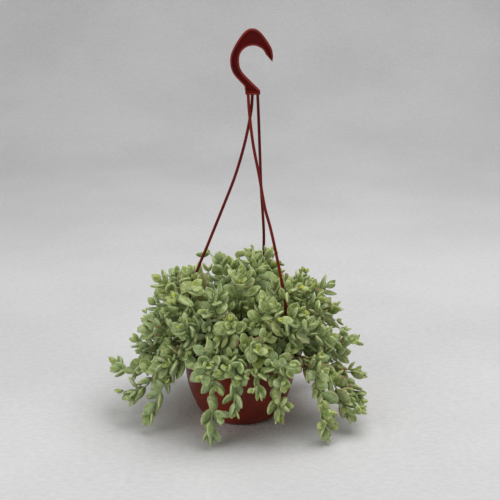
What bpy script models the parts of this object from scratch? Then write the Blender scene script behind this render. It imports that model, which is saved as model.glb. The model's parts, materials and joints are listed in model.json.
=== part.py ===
"""Trailing cotyledon in a round hanging pot that stands on its base, with its moulded hanger upright.

The pot's base centre is the origin, +Z is up and -Y is the front. Sizes are in millimetres, and MM turns
them into metres where a mesh is made. The plant follows one seeded growth rule: stems rise from the soil,
fan out over the rim without meeting, and carry opposite pairs of thick leaves, each pair turned a quarter
round from the last. A leaf that would touch its neighbours is turned or made smaller, and left out if
there is no room for it.
"""

import math
import random

import bmesh
import bpy
from mathutils import Matrix, Vector
from mathutils.bvhtree import BVHTree

MM = 0.001
GAP = 0.3

# Pot
POT_SIDES = 28
POT_WALL = 1.3
POT_FLOOR = 1.6
POT_BASE_RADIUS = 43.5
POT_OUTSIDE = [(67.6, 84.0), (65.4, 51.0), (62.9, 37.0), (58.3, 23.6), (53.4, 11.8), (49.0, 4.2)]
POT_HEIGHT = 86.2
RIM_RADIUS = 75.0
RIM_EDGE = 0.8
RIM_SKIRT_HEIGHT = 6.4
RIM_SKIRT_THICKNESS = 1.4
RIM_THICKNESS = 2.2
DRAIN_HOLES = 6
DRAIN_RADIUS = 3.0
DRAIN_CIRCLE = 28.0
HOLE_SIDES = 8
DRAIN_CUTTER_HEIGHT = 8.0
STRAND_CUTTER_HEIGHT = 12.0

# Soil
SOIL_EDGE_HEIGHT = 70.5
SOIL_HEIGHT = 73.5
SOIL_SHOULDER_DROP = 0.6
SOIL_HOLE_WIDTH = 3.5
SOIL_HOLE_DEPTH = 10.0

# Hanger: a flat hook with a recessed web, a bar under it and three round strands that clip into the rim
THROAT = Vector((14.5, 0.0, 425.6))
HOOK_THICKNESS = 6.4
WEB_THICKNESS = 2.4
FLANGE_WIDTH = 2.0
HOOK_OUTSIDE = [
    (22.0, -1.5), (22.8, 5.4), (20.0, 15.3), (8.7, 30.6), (-0.6, 34.6), (-9.2, 30.6),
    (-19.8, 15.6), (-24.8, 1.6), (-21.8, -14.0), (-9.1, -28.8),
]
HOOK_FOOT = [(-7.8, -38.0), (8.2, -38.0)]
HOOK_INSIDE = [(8.2, -33.6), (-0.9, -24.7), (-9.2, -16.2), (-12.6, -11.5), (-14.4, -6.5)]
THROAT_RADIUS = 15.4
THROAT_ARC_CENTRE = (0.5, 0.9)
THROAT_ARC = (180.0, -160.0)
THROAT_STEPS = 8
BAR_SIZE = (16.4, 7.0, 4.6)
BAR_CENTRE = Vector((15.5, 0.0, 389.4))
STRAND_RADIUS = 1.5
STRAND_CIRCLE = 70.5
STRAND_UPRIGHT = 14.0
STRAND_STEP = 31.0
STRAND_TEST_STEP = 12.0
STRAND_HOLE_RADIUS = 2.15
KNOB_RADIUS = 2.5
KNOB_HEIGHT = 3.0
STRANDS = {
    "left": (-163.0, [(14.5, 2, 389), (12.8, 0.5, 367), (5.5, -2, 331), (-5.4, -5, 294), (-19.8, -8, 257),
                      (-35.5, -11, 218), (-53.0, -15, 174), (-64.5, -19, 126)]),
    "front": (-43.0, [(9.5, -2, 389), (10.9, -5, 368), (15.1, -10, 333), (22.1, -16, 297), (28.6, -21, 261),
                      (36.0, -26, 234), (47.3, -34, 181), (53.6, -40, 140)]),
    "back": (77.0, [(20.2, 2.5, 389), (21.2, 7, 366), (22.7, 15, 327), (24.9, 28, 269), (28.4, 43, 203),
                    (24.5, 58, 144)]),
}

# Growth
SEED = 41
DRAWS = 1000
DOME_STEMS = 40
DOME_PAIRS = 4
DOME_BASE_RADIUS = 45.0
TRAIL_BASE_RADII = (49.5, 54.5)
TRAIL_CREST_RADIUS = 84.0
TRAIL_CREST_HEIGHT = 99.0
TRAIL_RISE = (3.0, 19.0)
TRAIL_FALL = 0.45
TRAIL_LIFTS = (20.0, 8.0)
GOLDEN_ANGLE = math.radians(137.508)
DOME_RISE = 0.42
DOME_RISE_LIFT = 0.12
DOME_FALL = 0.36
DOME_TURN = (8.0, 96.0)
# Share of the dome's stems inside a tip's place, then the tip's distance from the axis and its height
DOME_OUTLINE = [
    (0.0, 10, 192), (0.04, 33, 179), (0.085, 50, 188), (0.12, 62, 178), (0.21, 78, 161), (0.27, 88, 158),
    (0.42, 105, 142), (0.62, 117, 116), (0.84, 120, 89), (1.0, 117, 74),
]
# Tips of the stems that stand out of the mound, how far each has turned down, and its leaf pairs
ARM_TIPS = {
    "upper_left": (-94, -5, 168, 55, 4), "upper_right": (103, -5, 161, 52, 4), "upper_front": (68, -58, 146, 54, 4),
}
ARM_BASE_RADIUS = 34.0
ARM_DRAWS = 300
DOME_DRAWS = 500
# How far the foliage reaches at each direction round the pot, in degrees from +X: less at the front
REACH = [(-180, 1.0), (-135, 0.93), (-90, 0.84), (-45, 0.93), (0, 1.03), (90, 0.98), (180, 1.0)]
# Tips of the long stems that hang past the rim, how far each has turned down from upright, and its leaf pairs
TRAILING_TIPS = {
    "left_reach": (-146, -14, 58, 98, 6), "left_low": (-130, -44, 38, 122, 6),
    "left_hang": (-107, -68, 20, 150, 6), "front_long": (-33, -103, 13, 168, 6),
    "front_middle": (-6, -104, 46, 166, 5), "front_right": (45, -95, 36, 165, 4),
    "right_hang": (98, -91, 9, 170, 7), "right_low": (128, -64, 22, 150, 6),
    "right_mid": (139, -40, 34, 134, 5), "right_reach": (143, -12, 52, 104, 5),
    "back_right": (104, 76, 44, 140, 5), "front_near": (22, -99, 66, 152, 4),
    "back_middle": (4, 126, 46, 145, 4), "back_far": (-86, 98, 34, 150, 5),
}
STEM_BASE_RADIUS = 1.3
STEM_TIP_RADIUS = 0.8
STEM_SINK = 9.0
STEM_APART = 0.6
STEM_TAPER = 1.3
STEM_STEP = 3.0
# A stem that meets something is tried again with more lift in its arch or bent sideways
SWAYS = (0, 7, -7, 14, -14, 21, -21)
LIFTS = 8
LIFT_STEP = 0.25
RIM_BAND = 11.0
RIM_CLEARANCE = 3.0
POT_CLEARANCE = 1.5
STEM_FLOOR_CLEARANCE = 4.0
LONG_REST = 24.0
BARE_FOOT = 6.0
FIRST_NODE = 3.0
FIRST_INTERNODE = 6.5
INTERNODE_GROWTH = 2.5
LONGEST_INTERNODE = 13.0
LEAF_LENGTHS = (15.0, 20.0, 23.5, 25.0, 24.0, 23.0, 22.0)
LEAF_ANGLES = (26, 40, 50, 57, 60, 62, 64)
# Stems that hang past the rim: their nodes further apart, their leaves smaller and closer to the stem
TRAILING_STRETCH = 1.2
TRAILING_LEAVES = 0.92
TRAILING_ANGLES = 0.66
LEAF_WIDTH = 0.62
LEAF_THICKNESS = 0.2
LEAF_WIDEST = 0.52
LEAF_SHOULDER = 0.82
SHOULDER_WIDTH = 0.64
ROOT_DEPTH = 0.4
LEAF_TRIES = 12
# Spread in degrees of a leaf's first try, and what each further try adds
STRAY_SPIN = (6, 2)
STRAY_ANGLE = (5, 2)
STRAY_TWIST = (12, 4)
SIZE_SPREAD = 0.06
WIDTH_SPREAD = 0.12
SHRINK = 0.025
# How strongly a leaf turns its flat face out from the pot's axis and up
FACE_OUT = 0.7
FACE_UP = 0.5
LEAF_APART = 0.4
FLOOR_CLEARANCE = 0.5
CELL = 26.0
# Corners of a leaf: its root, its left edge, keel and right edge where it is widest, its shoulders, its tip
LEAF_FACES = [
    (0, 3, 1), (1, 3, 5), (1, 5, 4), (4, 5, 6),
    (0, 1, 2), (0, 2, 3), (1, 4, 2), (4, 6, 2), (6, 5, 2), (5, 3, 2),
]

UP = Vector((0.0, 0.0, 1.0))


def interpolate(table, value):
    """Values of a table of rows (key, value, ...) at a key between its rows."""
    for low, high in zip(table, table[1:]):
        if value <= high[0]:
            share = (value - low[0]) / (high[0] - low[0])
            return [a + (b - a) * share for a, b in zip(low[1:], high[1:])]
    return list(table[-1][1:])


def around(radius, angle, height):
    """Point at a distance from the pot's axis, at an angle in radians from +X."""
    return Vector((radius * math.cos(angle), radius * math.sin(angle), height))


def smooth_path(points, step):
    """Points about a step apart on a smooth curve through the given points."""
    knots = [2 * points[0] - points[1], *points, 2 * points[-1] - points[-2]]
    path = []
    for before, start, end, after in zip(knots, knots[1:], knots[2:], knots[3:]):
        parts = max(1, round((end - start).length / step))
        for part in range(parts):
            t = part / parts
            path.append(
                start
                + (end - before) * (t / 2)
                + (2 * before - 5 * start + 4 * end - after) * (t * t / 2)
                + (3 * start - before - 3 * end + after) * (t**3 / 2)
            )
    path.append(points[-1])
    return path


def strand_path(name, step):
    """A strand from its place in the bar down to the knob under the rim."""
    angle, points = STRANDS[name]
    hole = around(STRAND_CIRCLE, math.radians(angle), POT_HEIGHT)
    ends = [hole + UP * STRAND_UPRIGHT, hole, hole - UP * (RIM_THICKNESS + GAP + KNOB_HEIGHT / 2)]
    return smooth_path([Vector(point) for point in points] + ends, step)


class Stem:
    """A leafy stem: its line from below the soil to its tip, and the nodes where its leaf pairs grow."""

    def __init__(self, name, base, tip, turn, pairs, rng, hangs):
        self.name = name
        self.base = base
        self.tip = tip
        self.turn = turn
        self.pairs = pairs
        self.rng = rng
        self.hangs = hangs
        self.spin = rng.uniform(0, math.pi / 2)
        self.vigour = rng.uniform(0.92, 1.06) * (TRAILING_LEAVES if hangs else 1)
        self.points = []

    def curve(self, lift, sway):
        """The smooth line from the soil to the tip. lift raises its arch and sway bends it sideways."""
        outward = Vector((self.tip.x, self.tip.y, 0)).normalized()
        side = UP.cross(outward)
        turn = math.radians(self.turn)
        heading = outward * math.sin(turn) + UP * math.cos(turn)
        if self.hangs:
            crest = outward * TRAIL_CREST_RADIUS + side * sway
            crest += UP * (TRAIL_CREST_HEIGHT + lift * TRAIL_LIFTS[0])
            rise = self.base + outward * TRAIL_RISE[0] + UP * (TRAIL_RISE[1] + lift * TRAIL_LIFTS[1])
            fall = self.tip - heading * (TRAIL_FALL * (self.tip - crest).length) + side * (sway / 2)
            return smooth_path([self.base, rise, crest, fall, self.tip], STEM_STEP)
        span = (self.tip - self.base).length
        rise = self.base + UP * ((DOME_RISE + lift * DOME_RISE_LIFT) * span) + side * sway
        fall = self.tip - heading * (span * DOME_FALL) + side * (sway / 2)
        steps = math.ceil(span / STEM_STEP)
        line = []
        for step in range(steps + 1):
            t = step / steps
            u = 1 - t
            line.append(
                self.base * u**3 + rise * (3 * u * u * t) + fall * (3 * u * t * t) + self.tip * t**3
            )
        return line

    def draw(self, lift, sway):
        """Lays the stem as straight pieces on its smooth line, with an upright end in the soil."""
        curve = self.curve(lift, sway)
        length = sum((b - a).length for a, b in zip(curve, curve[1:]))
        marks = [self.node_distance(pair) for pair in range(0, self.pairs + 1, 2)]
        marks[0] = 0.0
        spare = length - marks[-1]
        if spare > LONG_REST:
            marks += [marks[-1] + spare / 3, marks[-1] + spare * 2 / 3]
        marks = [mark for mark in marks if mark < length - STEM_STEP]
        backwards = curve[::-1]
        self.points = [point_along(backwards, mark)[0] for mark in marks]
        self.points += [self.base, self.base - UP * STEM_SINK]

    def radius_at(self, share):
        """Radius at a share of the way from the tip to the soil."""
        return STEM_TIP_RADIUS + (STEM_BASE_RADIUS - STEM_TIP_RADIUS) * min(1, share * STEM_TAPER)

    def length(self):
        return sum((b - a).length for a, b in zip(self.points, self.points[1:]))

    def radii(self):
        """Radius at each point of the line."""
        found = [self.radius_at(0)]
        walked = 0.0
        for start, end in zip(self.points, self.points[1:]):
            walked += (end - start).length
            found.append(self.radius_at(walked / self.length()))
        return found

    def node_distance(self, pair):
        """Distance of a leaf pair from the tip: close together at the tip and further apart below."""
        distance = FIRST_NODE
        for number in range(pair):
            distance += min(LONGEST_INTERNODE, FIRST_INTERNODE + INTERNODE_GROWTH * number)
        return distance * (TRAILING_STRETCH if self.hangs else 1)


def point_along(points, distance):
    """The point and the direction at a distance along a line."""
    for start, end in zip(points, points[1:]):
        length = (end - start).length
        if distance <= length:
            return start + (end - start) * (distance / length), (end - start) / length
        distance -= length
    return points[-1].copy(), (points[-1] - points[-2]).normalized()


def samples(points, step=1.5):
    """Points at a step along a line."""
    total = sum((b - a).length for a, b in zip(points, points[1:]))
    return [point_along(points, step * number)[0] for number in range(int(total / step) + 1)]


def near(first, second, least):
    """Whether two sampled lines come closer than a distance."""
    return any((a - b).length_squared < least * least for a in first for b in second)


def over_rim(points):
    """Whether a line leaves the pot clear of its rim."""
    inside = RIM_RADIUS - RIM_BAND - RIM_CLEARANCE
    for point in points:
        radius = math.hypot(point.x, point.y)
        if inside < radius < RIM_RADIUS + RIM_CLEARANCE and point.z < POT_HEIGHT + RIM_CLEARANCE:
            return False
        if radius >= RIM_RADIUS and point.z < STEM_FLOOR_CLEARANCE:
            return False
    return True


def lay_stems():
    """All stems, each bent until it clears the rim, the strands and the stems laid before it."""
    strands = [samples(strand_path(name, STRAND_TEST_STEP)) for name in STRANDS]
    apart = 2 * STEM_BASE_RADIUS + STEM_APART
    stems = []
    laid = []
    for stem in planned_stems():
        for attempt in range(LIFTS * len(SWAYS)):
            stem.draw(attempt // len(SWAYS) * LIFT_STEP, SWAYS[attempt % len(SWAYS)])
            line = samples(stem.points)
            if not over_rim(line):
                continue
            if any(near(line, strand, apart) for strand in strands):
                continue
            if not any(near(line, other, apart) for other in laid):
                stems.append(stem)
                laid.append(line)
                break
    return stems


def planned_stems():
    """The stems to lay: those that hang past the rim, the arms, then the dome's from edge to crown."""
    for number, (name, (x, y, z, turn, pairs)) in enumerate(TRAILING_TIPS.items()):
        rng = random.Random(SEED * DRAWS + number)
        angle = math.atan2(y, x)
        base = around(TRAIL_BASE_RADII[number % 2], angle, SOIL_EDGE_HEIGHT + 1)
        yield Stem(f"stem_{name}", base, Vector((x, y, z)), turn, pairs, rng, True)
    for number, (name, (x, y, z, turn, pairs)) in enumerate(ARM_TIPS.items()):
        rng = random.Random(SEED * DRAWS + ARM_DRAWS + number)
        base = around(ARM_BASE_RADIUS, math.atan2(y, x), SOIL_HEIGHT - 1)
        yield Stem(f"stem_{name}", base, Vector((x, y, z)), turn, pairs, rng, False)
    for number in reversed(range(DOME_STEMS)):
        rng = random.Random(SEED * DRAWS + DOME_DRAWS + number)
        share = (number + 0.5) / DOME_STEMS
        angle = number * GOLDEN_ANGLE
        base = around(DOME_BASE_RADIUS * math.sqrt(share), angle, SOIL_HEIGHT - 1)
        angle += math.radians(rng.uniform(-5, 5))
        radius, height = interpolate(DOME_OUTLINE, share)
        degrees = (math.degrees(angle) + 180) % 360 - 180
        radius *= interpolate(REACH, degrees)[0] * rng.uniform(0.95, 1.04)
        tip = around(radius, angle, height + rng.uniform(-5, 5))
        turn = DOME_TURN[0] + DOME_TURN[1] * share + rng.uniform(-8, 8)
        yield Stem(f"stem_dome_{number + 1:02d}", base, tip, turn, DOME_PAIRS, rng, False)


class Leaf:
    """A thick leaf: where its root sits, which way it points and faces, and its size."""

    def __init__(self, root, axis, normal, length, width, thickness):
        self.root = root
        self.axis = axis
        self.normal = normal
        self.length = length
        self.width = width
        self.thickness = thickness

    def corners(self, margin=0.0):
        """The seven corners of LEAF_FACES. A margin moves them out, and its flat face up."""
        side = self.normal.cross(self.axis)
        start = self.root + self.normal * margin
        widest = start + self.axis * (self.length * LEAF_WIDEST)
        shoulder = start + self.axis * (self.length * LEAF_SHOULDER)
        across = side * (self.width / 2 + margin)
        keel = self.normal * (self.thickness + 2 * margin)
        narrow = side * (self.width * SHOULDER_WIDTH / 2 + margin)
        tip = start + self.axis * (self.length + margin)
        root = self.root - self.axis * ROOT_DEPTH
        return [
            root, widest + across, widest - keel, widest - across, shoulder + narrow, shoulder - narrow, tip
        ]


def tube_cage(points, radii, margin):
    """Corners and faces of a six-sided sleeve round a line, to test leaves against."""
    corners = []
    faces = []
    for index, (point, radius) in enumerate(zip(points, radii)):
        ahead = points[min(index + 1, len(points) - 1)] - points[max(index - 1, 0)]
        turn = ahead.to_track_quat("Z", "Y")
        for side in range(6):
            angle = side * math.pi / 3
            reach = (radius + margin) / math.cos(math.pi / 6)
            corners.append(point + turn @ Vector((math.cos(angle) * reach, math.sin(angle) * reach, 0)))
    for ring in range(len(points) - 1):
        for side in range(6):
            a = ring * 6 + side
            b = ring * 6 + (side + 1) % 6
            faces.append((a, b, b + 6, a + 6))
    return corners, faces


class Room:
    """What is already in place, for telling whether a leaf has room."""

    def __init__(self, stems):
        corners = []
        faces = []
        self.owners = []
        tubes = [(stem.points, stem.radii()) for stem in stems]
        for name in STRANDS:
            path = strand_path(name, STRAND_TEST_STEP)
            tubes.append((path, [STRAND_RADIUS] * len(path)))
        for owner, (points, radii) in enumerate(tubes):
            new_corners, new_faces = tube_cage(points, radii, LEAF_APART)
            first = len(corners)
            corners += new_corners
            faces += [tuple(first + corner for corner in face) for face in new_faces]
            self.owners += [owner] * len(new_faces)
        self.tubes = BVHTree.FromPolygons(corners, faces)
        self.cells = {}

    def cell_of(self, point):
        return tuple(math.floor(value / CELL) for value in point)

    def takes(self, leaf, owner, pair):
        """Whether a leaf of a stem's pair is clear of the pot, the floor, the strands, stems and leaves."""
        outer = leaf.corners(LEAF_APART)
        if any(hits_pot_or_floor(corner) for corner in outer + midpoints(outer)):
            return False
        shape = BVHTree.FromPolygons(outer, LEAF_FACES)
        if any(self.owners[hit] != owner for _, hit in shape.overlap(self.tubes)):
            return False
        inner = BVHTree.FromPolygons(leaf.corners(), LEAF_FACES)
        home = self.cell_of(leaf.root + leaf.axis * (leaf.length / 2))
        for cell in neighbours(home):
            for other, other_owner, other_pair in self.cells.get(cell, ()):
                if other_owner == owner and other_pair == pair:
                    continue
                if (inner if other_owner == owner else shape).overlap(other):
                    return False
        return True

    def add(self, leaf, owner, pair):
        tree = BVHTree.FromPolygons(leaf.corners(), LEAF_FACES)
        home = self.cell_of(leaf.root + leaf.axis * (leaf.length / 2))
        self.cells.setdefault(home, []).append((tree, owner, pair))


def neighbours(cell):
    """A cell and the cells that touch it."""
    steps = (-1, 0, 1)
    return [(cell[0] + x, cell[1] + y, cell[2] + z) for x in steps for y in steps for z in steps]


def midpoints(corners):
    """Points halfway along a leaf's long edges."""
    pairs = ((0, 1), (0, 2), (0, 3), (1, 3), (2, 6), (1, 4), (3, 5), (4, 6), (5, 6))
    return [(corners[a] + corners[b]) / 2 for a, b in pairs]


def hits_pot_or_floor(point):
    """Whether a point is in the floor, in the pot's wall or in its mouth."""
    radius = math.hypot(point.x, point.y)
    if point.z < FLOOR_CLEARANCE:
        return True
    if point.z > POT_HEIGHT + POT_CLEARANCE:
        return False
    if point.z > POT_HEIGHT - RIM_SKIRT_HEIGHT - 2 * POT_CLEARANCE:
        return radius < RIM_RADIUS + POT_CLEARANCE
    wall = [(0.0, POT_OUTSIDE[-1][0])] + [(z, r) for r, z in reversed(POT_OUTSIDE)]
    return radius < interpolate(wall, point.z)[0] + POT_CLEARANCE


def turned(vector, axis, degrees):
    """A vector turned about an axis."""
    return Matrix.Rotation(math.radians(degrees), 3, axis) @ vector


def leaf_try(stem, pair, side, attempt):
    """One way to grow a leaf: each attempt strays further from the rule and makes a smaller leaf."""
    rng = stem.rng

    def stray(spread):
        return rng.gauss(0, spread[0] + spread[1] * attempt)

    node, towards_soil = point_along(stem.points, stem.node_distance(pair))
    forward = -towards_soil
    across = forward.cross(UP)
    if across.length < 0.1:
        across = forward.cross(Vector((1, 0, 0)))
    across.normalize()
    spin = math.degrees(stem.spin) + 90 * (pair % 2) + 180 * side + stray(STRAY_SPIN)
    radial = turned(across, forward, spin)
    spread = LEAF_ANGLES[pair] * (TRAILING_ANGLES if stem.hangs else 1)
    angle = math.radians(spread + stray(STRAY_ANGLE))
    axis = (forward * math.cos(angle) + radial * math.sin(angle)).normalized()
    outward = Vector((node.x, node.y, 0)) / max(1.0, math.hypot(node.x, node.y))
    normal = forward * math.sin(angle) - radial * math.cos(angle) + outward * FACE_OUT + UP * FACE_UP
    normal = (normal - axis * normal.dot(axis)).normalized()
    normal = turned(normal, axis, stray(STRAY_TWIST))
    size = stem.vigour * rng.uniform(1 - SIZE_SPREAD, 1 + SIZE_SPREAD) * (1 - SHRINK * attempt)
    length = LEAF_LENGTHS[pair] * size
    width = length * LEAF_WIDTH * rng.uniform(1 - WIDTH_SPREAD, 1 + WIDTH_SPREAD)
    return Leaf(node, axis, normal, length, width, length * LEAF_THICKNESS)


def grow(stems):
    """The leaves of each stem, the pairs nearest the tips first."""
    room = Room(stems)
    leaves = [[] for _ in stems]
    for pair in range(max(stem.pairs for stem in stems)):
        for owner, stem in enumerate(stems):
            if pair >= stem.pairs or stem.node_distance(pair) > stem.length() - STEM_SINK - BARE_FOOT:
                continue
            for side in range(2):
                for attempt in range(LEAF_TRIES):
                    leaf = leaf_try(stem, pair, side, attempt)
                    if room.takes(leaf, owner, pair):
                        room.add(leaf, owner, pair)
                        leaves[owner].append(leaf)
                        break
    return leaves


def new_material(name, colour, roughness, metallic=0.0):
    material = bpy.data.materials.new(name)
    material.use_nodes = True
    shader = material.node_tree.nodes["Principled BSDF"]
    shader.inputs["Base Color"].default_value = (*colour, 1.0)
    shader.inputs["Roughness"].default_value = roughness
    shader.inputs["Metallic"].default_value = metallic
    return material


def new_object(name, data, collection, location=(0, 0, 0)):
    obj = bpy.data.objects.new(name, data)
    obj.location = location
    collection.objects.link(obj)
    return obj


def mesh_from(name, bm):
    """A Blender mesh from a bmesh in millimetres."""
    bmesh.ops.scale(bm, vec=(MM, MM, MM), verts=bm.verts)
    bmesh.ops.recalc_face_normals(bm, faces=bm.faces)
    mesh = bpy.data.meshes.new(name)
    bm.to_mesh(mesh)
    bm.free()
    return mesh


def baked(obj):
    """The object's evaluated mesh, welded where a curve's caps meet its sides."""
    bpy.context.view_layer.update()
    mesh = bpy.data.meshes.new_from_object(obj.evaluated_get(bpy.context.evaluated_depsgraph_get()))
    bm = bmesh.new()
    bm.from_mesh(mesh)
    bmesh.ops.remove_doubles(bm, verts=bm.verts, dist=0.000001)
    bm.to_mesh(mesh)
    bm.free()
    return mesh


def replace_with_mesh(obj):
    """Turns a curve object into a mesh object of the same name and place."""
    mesh = baked(obj)
    name = obj.name
    collection = obj.users_collection[0]
    matrix = obj.matrix_world.copy()
    bpy.data.objects.remove(obj)
    made = new_object(name, mesh, collection)
    made.matrix_world = matrix
    return made


def lathe(name, profile, sides, collection):
    """A turned shape. The profile starts and ends on the axis and runs down its outer side."""
    bm = bmesh.new()
    corners = [bm.verts.new((radius * MM, 0, height * MM)) for radius, height in profile]
    for start, end in zip(corners, corners[1:]):
        bm.edges.new((start, end))
    mesh = bpy.data.meshes.new(name)
    bm.to_mesh(mesh)
    bm.free()
    obj = new_object(name, mesh, collection)
    screw = obj.modifiers.new("Turn", "SCREW")
    screw.steps = sides
    screw.render_steps = sides
    screw.use_merge_vertices = True
    screw.merge_threshold = 0.00001
    screw.use_smooth_shade = True
    return obj


def tube(name, points, radii, collection, resolution):
    """A round wire or stem along points in millimetres."""
    curve = bpy.data.curves.new(name, "CURVE")
    curve.dimensions = "3D"
    curve.bevel_depth = MM
    curve.bevel_resolution = resolution
    curve.use_fill_caps = True
    spline = curve.splines.new("POLY")
    spline.points.add(len(points) - 1)
    for place, point, radius in zip(spline.points, points, radii):
        place.co = (*(point * MM), 1)
        place.radius = radius
    return new_object(name, curve, collection)


def cutter_from(name, bm, collection):
    cutter = new_object(name, mesh_from(name, bm), collection)
    cutter.hide_render = True
    cutter.display_type = "WIRE"
    return cutter


def cut(obj, cutter):
    modifier = obj.modifiers.new(cutter.name, "BOOLEAN")
    modifier.operation = "DIFFERENCE"
    modifier.solver = "EXACT"
    modifier.use_self = True
    modifier.object = cutter


def join(obj, pieces):
    """Joins pieces to a mesh object with one Boolean on a collection, applies it and removes them."""
    group = bpy.data.collections.new(f"{obj.name}_pieces")
    group.hide_render = True
    bpy.context.scene.collection.children.link(group)
    for piece in pieces:
        for collection in piece.users_collection:
            collection.objects.unlink(piece)
        group.objects.link(piece)
    modifier = obj.modifiers.new("Join", "BOOLEAN")
    modifier.operation = "UNION"
    modifier.solver = "EXACT"
    modifier.operand_type = "COLLECTION"
    modifier.collection = group
    obj.data = baked(obj)
    obj.modifiers.remove(modifier)
    for piece in pieces:
        bpy.data.objects.remove(piece)
    bpy.data.collections.remove(group)


def add_prism(bm, centre, radius, height, sides):
    """An upright prism or cylinder in a bmesh."""
    bmesh.ops.create_cone(
        bm, cap_ends=True, segments=sides, radius1=radius, radius2=radius, depth=height,
        matrix=Matrix.Translation(centre),
    )


def inner_wall():
    """The pot's inside from its floor up: its outside moved in by the wall's thickness."""
    wall = []
    outside = [(POT_BASE_RADIUS, 0.0), *reversed(POT_OUTSIDE)]
    for before, here, after in zip(outside, outside[1:], outside[2:] + [outside[-1]]):
        slope = Vector((after[0] - before[0], after[1] - before[1])).normalized()
        wall.append((here[0] - slope.y * POT_WALL, here[1] + slope.x * POT_WALL))
    return wall


def build_pot(parts, cutters):
    """A thin-walled pot with a turned-down rim, drain holes and three holes for the strands."""
    wall = inner_wall()
    under_rim = POT_HEIGHT - RIM_THICKNESS
    skirt = RIM_RADIUS - RIM_SKIRT_THICKNESS
    low = POT_HEIGHT - RIM_SKIRT_HEIGHT
    profile = [(0, POT_FLOOR), (POT_BASE_RADIUS - 0.2, POT_FLOOR), *wall[:-1]]
    profile += [(wall[-1][0], POT_HEIGHT), (RIM_RADIUS - RIM_EDGE, POT_HEIGHT)]
    profile += [(RIM_RADIUS, POT_HEIGHT - RIM_EDGE), (RIM_RADIUS + RIM_EDGE / 2, low), (skirt, low)]
    profile += [(skirt, under_rim), (POT_OUTSIDE[0][0], under_rim), *POT_OUTSIDE[1:]]
    profile += [(POT_BASE_RADIUS, 0), (0, 0)]
    pot = lathe("pot", profile, POT_SIDES, parts)
    holes = bmesh.new()
    for number in range(DRAIN_HOLES):
        centre = around(DRAIN_CIRCLE, math.tau * number / DRAIN_HOLES, POT_FLOOR / 2)
        add_prism(holes, centre, DRAIN_RADIUS, DRAIN_CUTTER_HEIGHT, HOLE_SIDES)
    for angle, _ in STRANDS.values():
        centre = around(STRAND_CIRCLE, math.radians(angle), under_rim)
        add_prism(holes, centre, STRAND_HOLE_RADIUS, STRAND_CUTTER_HEIGHT, HOLE_SIDES)
    cut(pot, cutter_from("pot_holes", holes, cutters))
    return pot


def build_soil(parts, cutters, stems):
    """Potting soil that fills the pot, with a plain blind hole for each stem."""
    wall = [(radius - GAP, height) for radius, height in inner_wall()]
    side = [place for place in wall if POT_FLOOR + 4 < place[1] < SOIL_EDGE_HEIGHT - 8]
    top = interpolate([(z, r) for r, z in wall], SOIL_EDGE_HEIGHT)[0]
    shoulder = SOIL_HEIGHT - SOIL_SHOULDER_DROP
    profile = [(0, SOIL_HEIGHT), (DOME_BASE_RADIUS, shoulder), (top, SOIL_EDGE_HEIGHT)]
    profile += [*reversed(side), (POT_BASE_RADIUS - 0.8, POT_FLOOR + GAP), (0, POT_FLOOR + GAP)]
    soil = lathe("soil", profile, POT_SIDES, parts)
    holes = bmesh.new()
    for stem in stems:
        add_prism(holes, stem.base, SOIL_HOLE_WIDTH / math.sqrt(2), 2 * SOIL_HOLE_DEPTH, 4)
    cut(soil, cutter_from("stem_holes", holes, cutters))
    return soil


def hook_outline(inset):
    """The hook's outline round its throat, moved in by an inset, as points in its own flat frame."""
    arc = []
    middle = Vector(THROAT_ARC_CENTRE)
    for step in range(THROAT_STEPS + 1):
        angle = math.radians(THROAT_ARC[0] + THROAT_ARC[1] * step / THROAT_STEPS)
        arc.append(middle + THROAT_RADIUS * Vector((math.cos(angle), math.sin(angle))))
    outline = [Vector(point) for point in HOOK_OUTSIDE + HOOK_FOOT + HOOK_INSIDE + arc]
    moved = []
    for before, here, after in zip(outline[-1:] + outline, outline, outline[1:] + outline[:1]):
        first = (here - before).normalized()
        second = (after - here).normalized()
        inward = (Vector((-first.y, first.x)) + Vector((-second.y, second.x))).normalized()
        moved.append(here + inward * inset)
    return moved


def plate(name, outline, thickness, collection):
    """A flat plate in the XZ plane about the hook's throat."""
    curve = bpy.data.curves.new(name, "CURVE")
    curve.dimensions = "2D"
    curve.fill_mode = "BOTH"
    curve.extrude = thickness / 2 * MM
    spline = curve.splines.new("POLY")
    spline.points.add(len(outline) - 1)
    for place, point in zip(spline.points, outline):
        place.co = (point.x * MM, point.y * MM, 0, 1)
    spline.use_cyclic_u = True
    obj = new_object(name, curve, collection)
    obj.rotation_euler = (math.pi / 2, 0, 0)
    obj.location = THROAT * MM
    bpy.context.view_layer.update()
    return replace_with_mesh(obj)


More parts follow.
